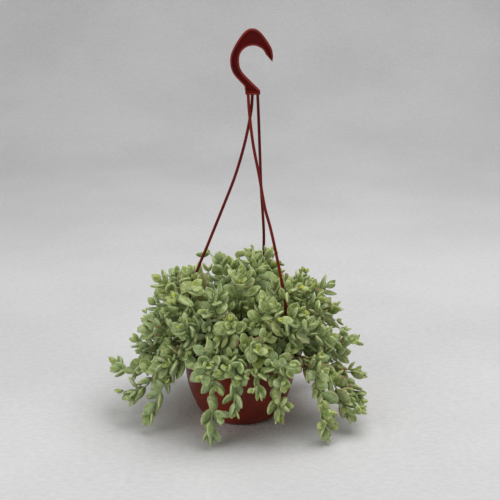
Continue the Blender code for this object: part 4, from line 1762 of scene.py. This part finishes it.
def leafy_tree() -> Tree:
    """Builds the tree that gives a stem's lines their bark and puts a leaf on each of its root points.

    Returns:
        The tree.
    """
    inputs = {"Geometry": "Geometry", "Leaf Shapes": "Collection", "Stem Sides": "Int"}
    inputs |= {"Leaf Finish": "Material", "Stem Finish": "Material"}
    tree, wiring, given, result = new_group("leafy stem", "Geometry", inputs, {"Geometry": "Geometry"})

    def carried(name: str, kind: str) -> Socket:
        """Reads what each point carries under a name."""
        return wiring.geometry("InputNamedAttribute", {"Name": name}, data_type=kind)

    chosen = {"Geometry": given["Geometry"], "Selection": carried("is_leaf", "BOOLEAN")}
    parted = wiring.add("GeometryNodeSeparateGeometry", chosen).outputs
    shared = {"Collection": given["Leaf Shapes"], "Separate Children": True, "Reset Children": True}
    facing, pointing, size = (carried(name, "FLOAT_VECTOR") for name in ("facing", "pointing", "size"))
    axes = {"Primary Axis": facing, "Secondary Axis": pointing}
    turn = wiring.add("FunctionNodeAxesToRotation", axes, primary_axis="Z", secondary_axis="Y").outputs[0]
    leaves = wiring.geometry("InstanceOnPoints", {
        "Points": parted["Selection"],
        "Instance": wiring.geometry("CollectionInfo", shared),
        "Pick Instance": True,
        "Instance Index": carried("kind", "INT"),
        "Rotation": turn,
        "Scale": size,
    })
    section = {"Resolution": given["Stem Sides"], "Radius": 1.0}
    stalks = wiring.geometry("CurveToMesh", {
        "Curve": wiring.geometry("MeshToCurve", {"Mesh": parted["Inverted"]}),
        "Profile Curve": wiring.geometry("CurvePrimitiveCircle", section),
        "Scale": carried("radius", "FLOAT"),
        "Fill Caps": True,
    })
    solid = wiring.geometry("RealizeInstances", {"Geometry": leaves})
    joined = wiring.add("GeometryNodeJoinGeometry")
    for part, finish in ((stalks, "Stem Finish"), (solid, "Leaf Finish")):
        clad = wiring.geometry("SetMaterial", {"Geometry": part, "Material": given[finish]})
        wiring.tree.links.new(clad, joined.inputs[0])
    wiring.set(result["Geometry"], wiring.geometry("SetShadeSmooth", {"Geometry": joined.outputs[0]}))
    return tree


@dataclass
class Plant:
    """The trailing plant: its stems and large leaves as in the solids, then what they leave out."""

    hanger: Hanger
    extra_pairs: int = 4
    shoot_nodes: tuple[int, ...] = (1, 2, 3, 4, 5, 6)
    shoot_chance: float = 0.64
    trailing_shoot_chance: float = 0.42
    front_shoot_chance: float = 0.08
    crest_height: float = 88.0
    fresh_share: float = 0.2
    shoot_tries: int = 4
    shoot_lengths: Span = (12.0, 30.0)
    shoot_angle: float = 42.0
    shoot_stray: float = 10.0
    shoot_spin_stray: float = 22.0
    shoot_lift: Span = (0.5, 1.1)
    shoot_knee: float = 0.45
    shoot_radius: float = 0.72
    trailing_shoot: float = 0.7
    trailing_shoot_radius: float = 0.85
    shoot_ages: Span = (0.12, 0.1)
    shoot_leaves: tuple = (12.5, 18.0, 21.5, 22.5)
    shoot_leaf_angles: tuple = (30, 48, 60, 68)
    shoot_leaf_tries: int = 8
    shoot_leaf_strays: tuple = ((8, 4), (6, 2), (14, 3))
    shoot_leaf_ages: Span = (0.38, 0.14)
    shoot_nodes_at: tuple = (2.0, 8.0, 15.5, 23.0)
    shoot_foot: float = 3.5
    bud_leaves: tuple = ((6.5, 17.0), (3.8, 9.0))
    bud_depth: float = 1.2
    stem_bud: float = 1.2
    leaf_ages: Span = (0.4, 0.15)
    small_tries: int = 10
    small_share: float = 0.92
    small_step: float = 0.045
    press: float = -0.45
    own_press: float = -0.7
    fill_tips: tuple = (
        (-54, -44, 172), (60, -60, 122), (56, -70, 104), (70, -52, 134), (-100, -45, 72), (-110, -38, 58),
        (-31, -80, 112), (-22, -72, 122), (-12, -84, 106), (8, -84, 104), (20, -90, 92), (34, -86, 98),
        (-48, -78, 92), (-62, -68, 98), (4, 8, 205), (14, 26, 202), (-66, -40, 140), (84, -40, 118),
        (-94, -60, 78), (-118, -28, 62), (-86, -66, 66), (30, -78, 122), (-27, -80, 108), (-10, -87, 96),
    )
    fill_reach: Span = (14.0, 46.0)
    fill_steps: int = 4
    fill_tries: int = 5
    fill_above_soil: float = 8.0
    fill_past_rim: float = 6.0
    fill_knee: float = 0.4
    fill_radius: float = 0.8
    fill_age: float = 0.3
    fill_leaves: tuple = (15.0, 20.0, 23.0, 24.0)
    first_fill: int = 40
    box_margin: float = 3.0
    outline_margin: float = 9.0
    crown_rows: int = 7
    crown_radius: float = 8.0
    edge_ceiling: float = 98.0
    shoot_step: float = 2.0
    stem_step: float = 2.6
    stem_sides: int = 8
    grown_young: float = 0.37
    grown_shares: tuple = (0.36, 0.28, 0.2, 0.16)
    tint_spread: Span = (0.16, 0.2)
    leaf_finish: LeafFinish = LeafFinish()
    stem_finish: StemFinish = StemFinish()
    limits: tuple[Vector, Vector] = field(init=False)
    stems: list[Stem] = field(init=False)
    room: Room = field(init=False)

    def planned_stems(self) -> Iterator[Stem]:
        """Goes through the stems to lay: those outside the dome, then the dome's from edge to crown.

        Yields:
            Each stem, not laid yet.
        """
        low = RULE.soil_edge_height + 1
        high = RULE.soil_height - 1
        outer = (RULE.trailing_tips, RULE.trail_base_radii, low, Draws.TRAILING_STEMS, True)
        upper = (RULE.arm_tips, (RULE.arm_base_radius,), high, Draws.UPPER_STEMS, False)
        for tips, radii, foot, draws, hangs in (outer, upper):
            for number, (name, (x, y, z, turn, pairs)) in enumerate(tips):
                base = around(radii[number % len(radii)], math.atan2(y, x), foot)
                yield Stem(f"stem_{name}", base, Vector((x, y, z)), turn, pairs, draws.row(number), hangs)
        for number in reversed(range(RULE.dome_stems)):
            rng = Draws.DOME_STEMS.row(number)
            share = (number + 0.5) / RULE.dome_stems
            angle = number * RULE.golden_angle
            base = around(RULE.dome_base_radius * math.sqrt(share), angle, high)
            angle += math.radians(rng.uniform(-5, 5))
            radius, height = interpolate(RULE.dome_outline, share)
            radius *= self.reach_at(angle) * rng.uniform(0.95, 1.04)
            tip = around(radius, angle, height + rng.uniform(-5, 5))
            turn = RULE.dome_turn[0] + RULE.dome_turn[1] * share + rng.uniform(-8, 8)
            yield Stem(f"stem_dome_{number + 1:02d}", base, tip, turn, RULE.dome_pairs, rng, False)

    @staticmethod
    def reach_at(angle: float) -> float:
        """Works out how far the foliage reaches in a direction, in radians from +X."""
        degrees = (math.degrees(angle) + 180) % 360 - 180
        return interpolate(RULE.reach, degrees)[0]

    def lay_stems(self) -> None:
        """Lays all stems, each bent until it clears the rim, the strands and the stems laid before it."""
        hanger = self.hanger
        taken = [samples(hanger.strand_path(name, hanger.test_step)) for name in hanger.strands]
        apart = 2 * RULE.stem_radii[1] + RULE.stem_apart
        self.stems = []
        for stem in self.planned_stems():
            for attempt in range(RULE.lifts * len(RULE.sways)):
                stem.draw(attempt // len(RULE.sways) * RULE.lift_step, RULE.sways[attempt % len(RULE.sways)])
                line = samples(stem.points)
                if over_rim(hanger.pot, line) and not any(near(line, other, apart) for other in taken):
                    stem.number = len(self.stems)
                    self.stems.append(stem)
                    taken.append(line)
                    break

    def leaf_try(self, stem: Stem, pair: int, side: int, attempt: int) -> Leaf:
        """Grows a leaf one way: each attempt strays further from the rule and makes a smaller leaf.

        Args:
            stem: The stem.
            pair: The number of the leaf pair from the tip.
            side: Which of the pair, 0 or 1.
            attempt: The number of the attempt.

        Returns:
            The leaf.
        """
        rng = stem.rng

        def stray(spread: Span) -> float:
            """Draws how far the leaf strays from the rule."""
            return rng.gauss(0, spread[0] + spread[1] * attempt)

        spin = stem.axil(pair, side) + stray(RULE.stray_spin)
        lean = RULE.leaf_angles[min(pair, 6)] * (RULE.trailing_angles if stem.hangs else 1)
        turns = (spin, lean + stray(RULE.stray_angle), stray(RULE.stray_twist))
        size = stem.vigour * rng.uniform(1 - RULE.size_spread, 1 + RULE.size_spread)
        length = RULE.leaf_lengths[min(pair, 6)] * (size * (1 - RULE.shrink * attempt))
        spread = rng.uniform(1 - RULE.width_spread, 1 + RULE.width_spread)
        age = min(1.0, self.leaf_ages[0] + self.leaf_ages[1] * pair)
        return self.leaf_on(stem.points, stem.node_distance(pair), turns, length, spread, age)

    @staticmethod
    def leaf_on(line: Line, distance: float, turns: Triple, length: float, spread: float, age: float) -> Leaf:
        """Makes a leaf on a line, with its upper face turned out from the pot's axis and up.

        Args:
            line: The line, tip first.
            distance: How far from the tip the leaf grows.
            turns: Its direction round the line, its lean from it and its twist, in degrees.
            length: Its length.
            spread: Its width as a share of the usual width.
            age: Its age.

        Returns:
            The leaf.
        """
        spin, lean, twist = turns
        node, backward = point_along(line, distance)
        forward = -backward
        axis, plain = leaning(forward, turned(sideways(forward), forward, spin), math.radians(lean))
        normal = plain + outward_at(node) * RULE.face_out + UP * RULE.face_up
        normal = turned((normal - axis * normal.dot(axis)).normalized(), axis, twist)
        width = length * RULE.leaf_width * spread
        return Leaf(node, axis, normal, length, width, length * RULE.leaf_thickness, age)

    def grow_solid_leaves(self) -> list[tuple[Stem, int, int]]:
        """Grows the leaves that the solids have, the pairs nearest the tips first.

        Returns:
            Stem, pair and side of each leaf that found no room.
        """
        missed = []
        for pair in range(max(stem.pairs for stem in self.stems)):
            for stem in self.stems:
                if pair >= stem.pairs or not stem.has_node(pair):
                    continue
                for side in range(2):
                    for attempt in range(RULE.leaf_tries):
                        leaf = self.leaf_try(stem, pair, side, attempt)
                        if self.room.takes(leaf, stem.number, pair):
                            self.room.add(leaf, stem.number, pair)
                            stem.leaves.append(leaf)
                            break
                    else:
                        missed.append((stem, pair, side))
        return missed

    def in_box(self, leaf: Leaf) -> bool:
        """Tells whether a leaf stays inside the object's box and the mound's outline.

        Args:
            leaf: The leaf.

        Returns:
            Whether it does.
        """
        low, high = self.limits
        for corner in leaf.corners():
            if any(not low[axis] < corner[axis] < high[axis] for axis in range(3)):
                return False
        tip = leaf.root + leaf.axis * leaf.length
        radius = math.hypot(tip.x, tip.y) / self.reach_at(math.atan2(tip.y, tip.x))
        crown = [row[1:] for row in RULE.dome_outline[:self.crown_rows]]
        height = self.edge_ceiling
        if radius < crown[-1][0]:
            height = interpolate(crown, max(self.crown_radius, radius))[0]
        return tip.z < height + self.outline_margin

    def place_extra(self, stem: Stem, mark: int, tries: Iterable[Leaf]) -> bool:
        """Puts the first of some leaves that has room in place.

        Args:
            stem: The stem that it belongs to.
            mark: The number of its pair, for telling the other of the pair.
            tries: The leaves to try.

        Returns:
            Whether one had room.
        """
        for leaf in tries:
            if self.in_box(leaf) and self.room.takes(leaf, stem.number, mark, self.press, self.own_press):
                self.room.add(leaf, stem.number, mark)
                stem.leaves.append(leaf)
                return True
        return False

    def smaller(self, stem: Stem, pair: int, side: int) -> Iterator[Leaf]:
        """Goes through ever smaller leaves for one place on a stem.

        Args:
            stem: The stem.
            pair: The number of the leaf pair from the tip.
            side: Which of the pair, 0 or 1.

        Yields:
            The leaves to try.
        """
        for attempt in range(self.small_tries):
            leaf = self.leaf_try(stem, pair, side, attempt)
            leaf.scale(self.small_share - self.small_step * attempt)
            yield leaf

    def grow_lower(self) -> None:
        """Grows the leaf pairs below those of the solids."""
        for extra in range(self.extra_pairs):
            for stem in self.stems:
                pair = stem.pairs + extra
                if not stem.has_node(pair):
                    continue
                for side in range(2):
                    self.place_extra(stem, pair, self.smaller(stem, pair, side))

    def grow_shoots(self) -> None:
        """Grows side shoots from the axils, each with a few pairs of small leaves and a bud."""
        for node in self.shoot_nodes:
            for stem in self.stems:
                if not stem.has_node(node):
                    continue
                rng = Draws.SHOOTS.row(stem.number * 10 + node)
                chance = self.trailing_shoot_chance if stem.hangs else self.shoot_chance
                if stem.name.startswith("stem_front"):
                    high = point_along(stem.points, stem.node_distance(node))[0].z > self.crest_height
                    chance = self.shoot_chance if high else self.front_shoot_chance
                for side in range(2):
                    if rng.random() < chance:
                        self.try_shoot(stem, node, side, rng)

    def try_shoot(self, stem: Stem, node: int, side: int, rng: random.Random) -> None:
        """Grows one side shoot where its leaves find room.

        Args:
            stem: The stem that it leaves.
            node: The number of the stem's node.
            side: Which axil, 0 or 1.
            rng: The source of its draws.
        """
        start, towards_soil = point_along(stem.points, stem.node_distance(node))
        forward = -towards_soil
        radial = turned(sideways(forward), forward, stem.axil(node, side))
        light = outward_at(start) * 0.5 + UP * 0.5
        radius = self.shoot_radius * (self.trailing_shoot_radius if stem.hangs else 1)
        age = self.shoot_ages[0] + self.shoot_ages[1] * node
        for _ in range(self.shoot_tries):
            length = rng.uniform(*self.shoot_lengths) * (self.trailing_shoot if stem.hangs else 1)
            angle = math.radians(self.shoot_angle + rng.gauss(0, self.shoot_stray))
            heading = forward * math.cos(angle) + radial * math.sin(angle)
            heading = turned(heading, forward, rng.gauss(0, self.shoot_spin_stray))
            lit = (heading + light * rng.uniform(*self.shoot_lift)).normalized()
            knee = start + heading * (length * self.shoot_knee)
            line = smooth_path([knee + lit * (length * (1 - self.shoot_knee)), knee, start], self.shoot_step)
            shoot = Shoot(line, radius, age)
            if self.grow_shoot(shoot, stem, node * 2 + side, rng, self.shoot_leaves):
                return

    def grow_fills(self) -> None:
        """Grows a side shoot to each place that the other leaves would leave open."""
        for number, place in enumerate(self.fill_tips):
            tip = Vector(place)
            for stem, point, forward in self.anchors(tip):
                knee = forward * self.fill_knee + (tip - point).normalized() * (1 - self.fill_knee)
                knee = point + knee * ((tip - point).length * self.fill_knee)
                line = smooth_path([tip, knee, point], self.shoot_step)
                shoot = Shoot(line, self.fill_radius, self.fill_age)
                rng = Draws.FILLS.row(number)
                if self.grow_shoot(shoot, stem, self.first_fill + number, rng, self.fill_leaves):
                    break

    def anchors(self, tip: Vector) -> list[tuple[Stem, Vector, Vector]]:
        """Picks places on the stems that a side shoot to a tip may leave from, the nearest first.

        Args:
            tip: Where the shoot ends.

        Returns:
            Stem, point and the stem's direction there, for each place.
        """
        nearest, furthest = self.fill_reach
        above = RULE.soil_height + self.fill_above_soil
        past = self.hanger.pot.rim_radius + self.fill_past_rim
        found = []
        for stem in self.stems:
            for start, end in zip(stem.points, stem.points[1:]):
                for step in range(self.fill_steps):
                    point = start.lerp(end, step / self.fill_steps)
                    away = (tip - point).length
                    clear = point.z > above or math.hypot(point.x, point.y) > past
                    if nearest < away < furthest and clear:
                        cost = away + max(0.0, point.z - tip.z)
                        found.append((cost, stem, point, (start - end).normalized()))
        found.sort(key=lambda option: option[0])
        return [option[1:] for option in found[::3][:self.fill_tries]]

    def grow_shoot(
        self, shoot: Shoot, stem: Stem, number: int, rng: random.Random, sizes: Sequence[float],
    ) -> bool:
        """Grows a side shoot with its leaves and its bud.

        Args:
            shoot: The shoot, its line still bare and tip first.
            stem: The stem that it leaves.
            number: The shoot's number on that stem.
            rng: The source of its draws.
            sizes: The leaves' lengths by pair.

        Returns:
            Whether it was in nothing's way and a leaf found room on it.
        """
        if any(self.hanger.pot.in_way(point) for point in shoot.points):
            return False
        first = None
        length = line_length(shoot.points)
        spin = rng.uniform(0, 90)
        vigour = rng.uniform(0.85, 1.15)
        for pair, distance in enumerate(self.shoot_nodes_at):
            if distance > length - self.shoot_foot:
                break
            for side in range(2):
                turn = spin + 90 * (pair % 2) + 180 * side
                tries = self.small_leaves(shoot.points, pair, turn, rng, [size * vigour for size in sizes])
                if self.place_extra(stem, 100 + number * 10 + pair, tries) and first is None:
                    first = distance
        if first is None:
            return False
        shoot.points = cut_before(shoot.points, max(0.0, first - self.shoot_nodes_at[0]))
        stem.shoots.append(shoot)
        stem.leaves += self.bud(shoot.points, rng, 1.0)
        return True

    def small_leaves(
        self, line: Line, pair: int, spin: float, rng: random.Random, sizes: Sequence[float],
    ) -> Iterator[Leaf]:
        """Goes through ways to grow one leaf of a side shoot.

        Args:
            line: The shoot's line, tip first.
            pair: The number of the pair from the tip.
            spin: Its direction round the shoot, in degrees.
            rng: The source of its draws.
            sizes: The leaves' lengths by pair.

        Yields:
            The leaves to try, ever smaller.
        """
        age = self.shoot_leaf_ages[0] + self.shoot_leaf_ages[1] * pair
        usual = (spin, self.shoot_leaf_angles[pair], 0)
        for attempt in range(self.shoot_leaf_tries):
            strays = zip(usual, self.shoot_leaf_strays)
            turns = tuple(turn + rng.gauss(0, base + growth * attempt) for turn, (base, growth) in strays)
            length = sizes[pair] * rng.uniform(0.9, 1.1) * (1 - self.small_step * attempt)
            yield self.leaf_on(line, self.shoot_nodes_at[pair], turns, length, rng.uniform(0.88, 1.14), age)

    def bud(self, line: Line, rng: random.Random, vigour: float) -> list[Leaf]:
        """Grows the closed bud at a line's tip: two pairs of tiny leaves, some of them lemon.

        Args:
            line: The line, tip first.
            rng: The source of its draws.
            vigour: How large the leaves are.

        Returns:
            The leaves.
        """
        forward = (line[0] - line[1]).normalized()
        across = sideways(forward)
        root = line[0] - forward * self.bud_depth
        spin = rng.uniform(0, 90)
        fresh = rng.random() < self.fresh_share
        found = []
        for pair, (length, angle) in enumerate(self.bud_leaves):
            age = 0.06 * pair if fresh else 0.36 - 0.06 * pair
            for side in range(2):
                radial = turned(across, forward, spin + 90 * pair + 180 * side + rng.gauss(0, 6))
                axis, normal = leaning(forward, radial, math.radians(angle + rng.uniform(-3, 6)))
                size = length * vigour * rng.uniform(0.85, 1.15)
                found.append(Leaf(root, axis, normal, size, size * 0.5, size * 0.24, age))
        return found

    def paint(self) -> None:
        """Draws each leaf's outline, tint and blush."""
        grown = (LeafKind.OVATE, LeafKind.OBOVATE, LeafKind.ROUND, LeafKind.FOLDED)
        stem_spread, leaf_spread = self.tint_spread
        for stem in self.stems:
            rng = Draws.LOOKS.row(stem.number)
            own = rng.gauss(0, stem_spread)
            for leaf in stem.leaves:
                low = (150.0 - leaf.root.z) / 150.0
                leaf.tint = 0.3 + 0.45 * low - leaf.root.x / 700 + own + rng.gauss(0, leaf_spread)
                leaf.tint = min(1.0, max(0.0, leaf.tint))
                young = leaf.age < self.grown_young
                leaf.kind = LeafKind.YOUNG if young else rng.choices(grown, self.grown_shares)[0]
                if leaf.age > 0.55 and rng.random() < 0.4:
                    leaf.blush = rng.uniform(0.45, 1.2)
                elif leaf.age > 0.3 and rng.random() < 0.2:
                    leaf.blush = rng.uniform(0.1, 0.4)

    def leaf_shapes(self) -> bpy.types.Collection:
        """Makes the leaf shapes that the stems share, in the order of their kinds.

        Returns:
            Their collection.
        """
        shapes = bpy.data.collections.new("leaf_shapes")
        for kind, form in LEAF_FORMS.items():
            name = f"leaf_{kind.value}_{kind.name.lower()}"
            shapes.objects.link(bpy.data.objects.new(name, form.mesh(name)))
        return shapes

    def tubes(self, stem: Stem) -> Iterator[tuple[list[Vector], list[float], list[float]]]:
        """Goes through a stem and its side shoots.

        Args:
            stem: The stem.

        Yields:
            The line of each, with its radius and its age at each point.
        """
        line = stem.fine_line(self.stem_step)
        walked = [0.0]
        for start, end in zip(line, line[1:]):
            walked.append(walked[-1] + (end - start).length)
        length = walked[-1]
        radii = [stem.radius_at(way / length) * (0.9 + 0.1 * min(1.0, way / 8)) for way in walked]
        yield line, radii, [min(1.0, way / 110.0) for way in walked]
        for shoot in stem.shoots:
            shares = [index / len(shoot.points) for index in range(len(shoot.points))]
            radii = [shoot.radius * (0.75 + 0.25 * share) for share in shares]
            yield shoot.points, radii, [shoot.age * share for share in shares]

    def sketch(self, stem: Stem) -> Object:
        """Makes the bare plan of a leafy stem: its lines, and a point for each leaf.

        Args:
            stem: The stem.

        Returns:
            The plan, with what each point needs on it.
        """
        corners: list[Vector] = []
        edges: list[tuple[int, int]] = []
        radii: list[float] = []
        ages: list[float] = []
        for line, thick, old in self.tubes(stem):
            first = len(corners)
            edges += [(first + index, first + index + 1) for index in range(len(line) - 1)]
            corners += line
            radii += [radius * MM for radius in thick]
            ages += old
        leaves = stem.leaves
        stalks = len(corners)
        blank = [0.0] * stalks
        mesh = bpy.data.meshes.new(stem.name)
        mesh.from_pydata([corner * MM for corner in corners + [leaf.root for leaf in leaves]], edges, [])
        sizes = [side * MM for leaf in leaves for side in (leaf.width, leaf.length, leaf.thickness)]
        columns = (
            ("is_leaf", "BOOLEAN", [False] * stalks, [True] * len(leaves)),
            ("radius", "FLOAT", radii, [0.0] * len(leaves)),
            ("age", "FLOAT", ages, [leaf.age for leaf in leaves]),
            ("tint", "FLOAT", blank, [leaf.tint for leaf in leaves]),
            ("blush", "FLOAT", blank, [leaf.blush for leaf in leaves]),
            ("kind", "INT", [0] * stalks, [leaf.kind.value for leaf in leaves]),
            ("facing", "FLOAT_VECTOR", blank * 3, [part for leaf in leaves for part in leaf.normal]),
            ("pointing", "FLOAT_VECTOR", blank * 3, [part for leaf in leaves for part in leaf.axis]),
            ("size", "FLOAT_VECTOR", blank * 3, sizes),
        )
        for name, kind, stalk_values, leaf_values in columns:
            layer = mesh.attributes.new(name, kind, "POINT").data
            layer.foreach_set("vector" if kind == "FLOAT_VECTOR" else "value", stalk_values + leaf_values)
        return new_object(stem.name.replace("stem_", "spray_"), mesh)

    def count(self) -> int:
        """Counts the leaves grown so far."""
        return sum(len(stem.leaves) for stem in self.stems)

    def grow(self) -> None:
        """Lays the stems and grows all that is on them, the solids' leaves first."""
        self.lay_stems()
        self.room = Room(self.hanger, self.stems)
        missed = self.grow_solid_leaves()
        log.info("leaves of the solids: %d, and %d without room", self.count(), len(missed))
        for stem, pair, side in missed:
            self.place_extra(stem, pair, self.smaller(stem, pair, side))
        for step in (self.grow_fills, self.grow_shoots, self.grow_lower):
            step()
            log.info("%s: %d leaves", step.__name__, self.count())
        for stem in self.stems:
            stem.leaves += self.bud(stem.points[:2], Draws.BUDS.row(stem.number), self.stem_bud * stem.vigour)
        self.paint()

    def build(self, limits: tuple[Vector, Vector], powder: Tree) -> None:
        """Grows the plant and makes each leafy stem in place of its solid.

        Args:
            limits: The object's box, as its lowest and highest corners in millimetres.
            powder: The powdery bloom group.
        """
        margin = Vector((self.box_margin,) * 3)
        self.limits = (limits[0] - margin, limits[1] + margin)
        self.grow()
        shapes = self.leaf_shapes()
        tree = leafy_tree()
        inputs = {
            "Leaf Shapes": shapes, "Leaf Finish": self.leaf_finish.material(powder),
            "Stem Finish": self.stem_finish.material(powder), "Stem Sides": self.stem_sides,
        }
        for stem in self.stems:
            plan = self.sketch(stem)
            grow_nodes(plan, tree, inputs)
            dress(baked(plan), [], "leaf_green", stem.name)
        for shape in list(shapes.objects):
            bpy.data.objects.remove(shape)
        bpy.data.collections.remove(shapes)


@dataclass
class Soil:
    """Potting soil: an uneven crumbly top inside the pot's wall."""

    pot: Pot
    edge_height: float = 70.5
    height: float = 73.5
    shoulder_radius: float = 45.0
    shoulder_drop: float = 0.6
    wall_from: float = 4.0
    wall_to: float = 8.0
    foot_inset: float = 0.8
    sides: int = 96
    rings: int = 26
    roughness: float = 1.1
    crumbs: int = 1500
    crumb_size: Span = (0.5, 1.6)
    crumb_stretch: tuple = ((0.7, 1.6), (0.7, 1.2), (0.5, 0.9))
    finish: SoilFinish = SoilFinish()

    def surface(self, radius: float, edge: float) -> float:
        """Works out how high the soil lies at a radius, with its edge at another."""
        shoulder = (self.shoulder_radius, self.height - self.shoulder_drop)
        return interpolate(((0, self.height), shoulder, (edge, self.edge_height)), radius)[0]

    def build(self) -> None:
        """Makes the soil in place of its solid, with crumbs on top."""
        rng = random.Random(RULE.seed)
        floor = self.pot.floor
        wall = [(radius - GAP, height) for radius, height in self.pot.inner_wall()]
        low, high = floor + self.wall_from, self.edge_height - self.wall_to
        side = [place for place in wall if low < place[1] < high]
        edge = interpolate([(z, r) for r, z in wall], self.edge_height)[0]
        radii = [edge * ring / self.rings for ring in range(1, self.rings)]
        profile = [(0.0, self.height), *((radius, self.surface(radius, edge)) for radius in radii)]
        profile += [(edge, self.edge_height), *reversed(side)]
        profile += [(self.pot.base_radius - self.foot_inset, floor + GAP), (0.0, floor + GAP)]
        soil = lathe("fine_soil", profile, self.sides)
        for vertex in soil.data.vertices:
            place = vertex.co / MM
            if place.z > self.edge_height - 0.5 and math.hypot(place.x, place.y) < edge - 1:
                vertex.co.z += rng.uniform(-self.roughness, self.roughness * 0.5) * MM
        soil.data.shade_smooth()
        material = self.finish.material()
        dress(soil, [material], "soil_fibre", "soil")
        bm = bmesh.new()
        for _ in range(self.crumbs):
            radius = (edge - 2) * math.sqrt(rng.random())
            size = rng.uniform(*self.crumb_size)
            height = self.surface(radius, edge) + size * 0.1
            place = Matrix.Translation(around(radius, rng.uniform(0, math.tau), height))
            turn = Matrix.Rotation(rng.uniform(0, math.tau), 4, Vector((rng.random(), rng.random(), 1)))
            stretch = Matrix.Diagonal((*(rng.uniform(*limits) for limits in self.crumb_stretch), 1))
            bmesh.ops.create_icosphere(bm, subdivisions=1, radius=size, matrix=place @ turn @ stretch)
        crumbs = new_object("soil_crumbs", mesh_from("soil_crumbs", bm))
        dress(crumbs, [material], "soil_fibre")


@dataclass(frozen=True)
class SoftLight:
    """A square soft light: where it is and what it points at, in metres, its size, watts and colour."""

    name: str
    place: Triple
    aim: Triple
    size: float
    power: float
    colour: Colour

    def build(self) -> None:
        """Adds the light to the scene."""
        light = bpy.data.lights.new(self.name, "AREA")
        light.shape = "SQUARE"
        light.size = self.size
        light.energy = self.power
        light.color = self.colour
        lamp = new_object(self.name, light)
        lamp.location = self.place
        lamp.rotation_euler = (Vector(self.aim) - Vector(self.place)).to_track_quat("-Z", "Y").to_euler()


@dataclass
class Stage:
    """A pale sweep, soft light from above and the camera at the photograph's angle."""

    width: float = 9.0
    front: float = -3.0
    bend: float = 1.2
    bend_radius: float = 1.3
    bend_steps: int = 24
    height: float = 3.6
    camera_place: Triple = (0.0117, -1.3, 0.6188)
    camera_pitch: float = 17.7
    focal_pixels: float = 1167.0
    frame_pixels: float = 500.0
    sensor: float = 36.0
    sky: Colour = (1.0, 0.99, 0.97)
    sky_strength: float = 0.36
    lights: tuple[SoftLight, ...] = (
        SoftLight("overhead", (0.45, 0.1, 1.75), (0.1, 0.15, 0.1), 1.4, 22.5, (0.985, 0.985, 1.0)),
        SoftLight("window", (-1.3, -1.2, 0.95), (-0.05, 0.0, 0.05), 1.2, 11.5, (0.975, 0.985, 1.0)),
    )
    finish: ClothFinish = ClothFinish()

    def build_sweep(self) -> None:
        """Makes the floor that sweeps up into a backdrop."""
        profile = [(self.front, 0.0), (self.bend, 0.0)]
        for step in range(1, self.bend_steps + 1):
            angle = math.pi / 2 * step / self.bend_steps
            reach = self.bend_radius * math.sin(angle)
            profile.append((self.bend + reach, self.bend_radius * (1 - math.cos(angle))))
        profile.append((self.bend + self.bend_radius, self.height))
        bm = bmesh.new()
        rows = [[bm.verts.new((side * self.width / 2, y, z)) for side in (-1, 1)] for y, z in profile]
        for first, second in zip(rows, rows[1:]):
            bm.faces.new((first[0], first[1], second[1], second[0]))
        sweep = new_object("sweep", mesh_from("sweep", bm, 1.0, tidy=False))
        sweep.data.shade_smooth()
        sweep.data.materials.append(self.finish.material())
        sweep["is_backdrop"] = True

    def build(self) -> None:
        """Makes the floor, the lights, the sky and the camera."""
        self.build_sweep()
        for light in self.lights:
            light.build()
        scene = bpy.context.scene
        scene.view_settings.view_transform = "Standard"
        scene.world = bpy.data.worlds.new("soft_sky")
        scene.world.use_nodes = True
        sky = scene.world.node_tree.nodes["Background"].inputs
        sky["Color"].default_value = (*self.sky, 1.0)
        sky["Strength"].default_value = self.sky_strength
        data = bpy.data.cameras.new("photo_camera")
        data.sensor_width = self.sensor
        data.sensor_fit = "HORIZONTAL"
        data.lens = self.sensor * self.focal_pixels / self.frame_pixels
        camera = new_object("photo_camera", data)
        camera.location = self.camera_place
        camera.rotation_euler = (math.radians(90 - self.camera_pitch), 0, 0)
        scene.camera = camera


def main() -> None:
    """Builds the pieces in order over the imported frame."""
    logging.basicConfig(level=logging.INFO, format="%(name)s: %(message)s")
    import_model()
    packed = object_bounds()
    pot = Pot()
    hanger = Hanger(pot)
    moulding = moulding_group()
    powder = powder_group()
    Stage().build()
    pot.build(moulding)
    Soil(pot).build()
    hanger.build(moulding)
    low, high = (Vector(corner) / MM for corner in packed)
    Plant(hanger).build((low, high), powder)


if __name__ == "__main__":
    main()
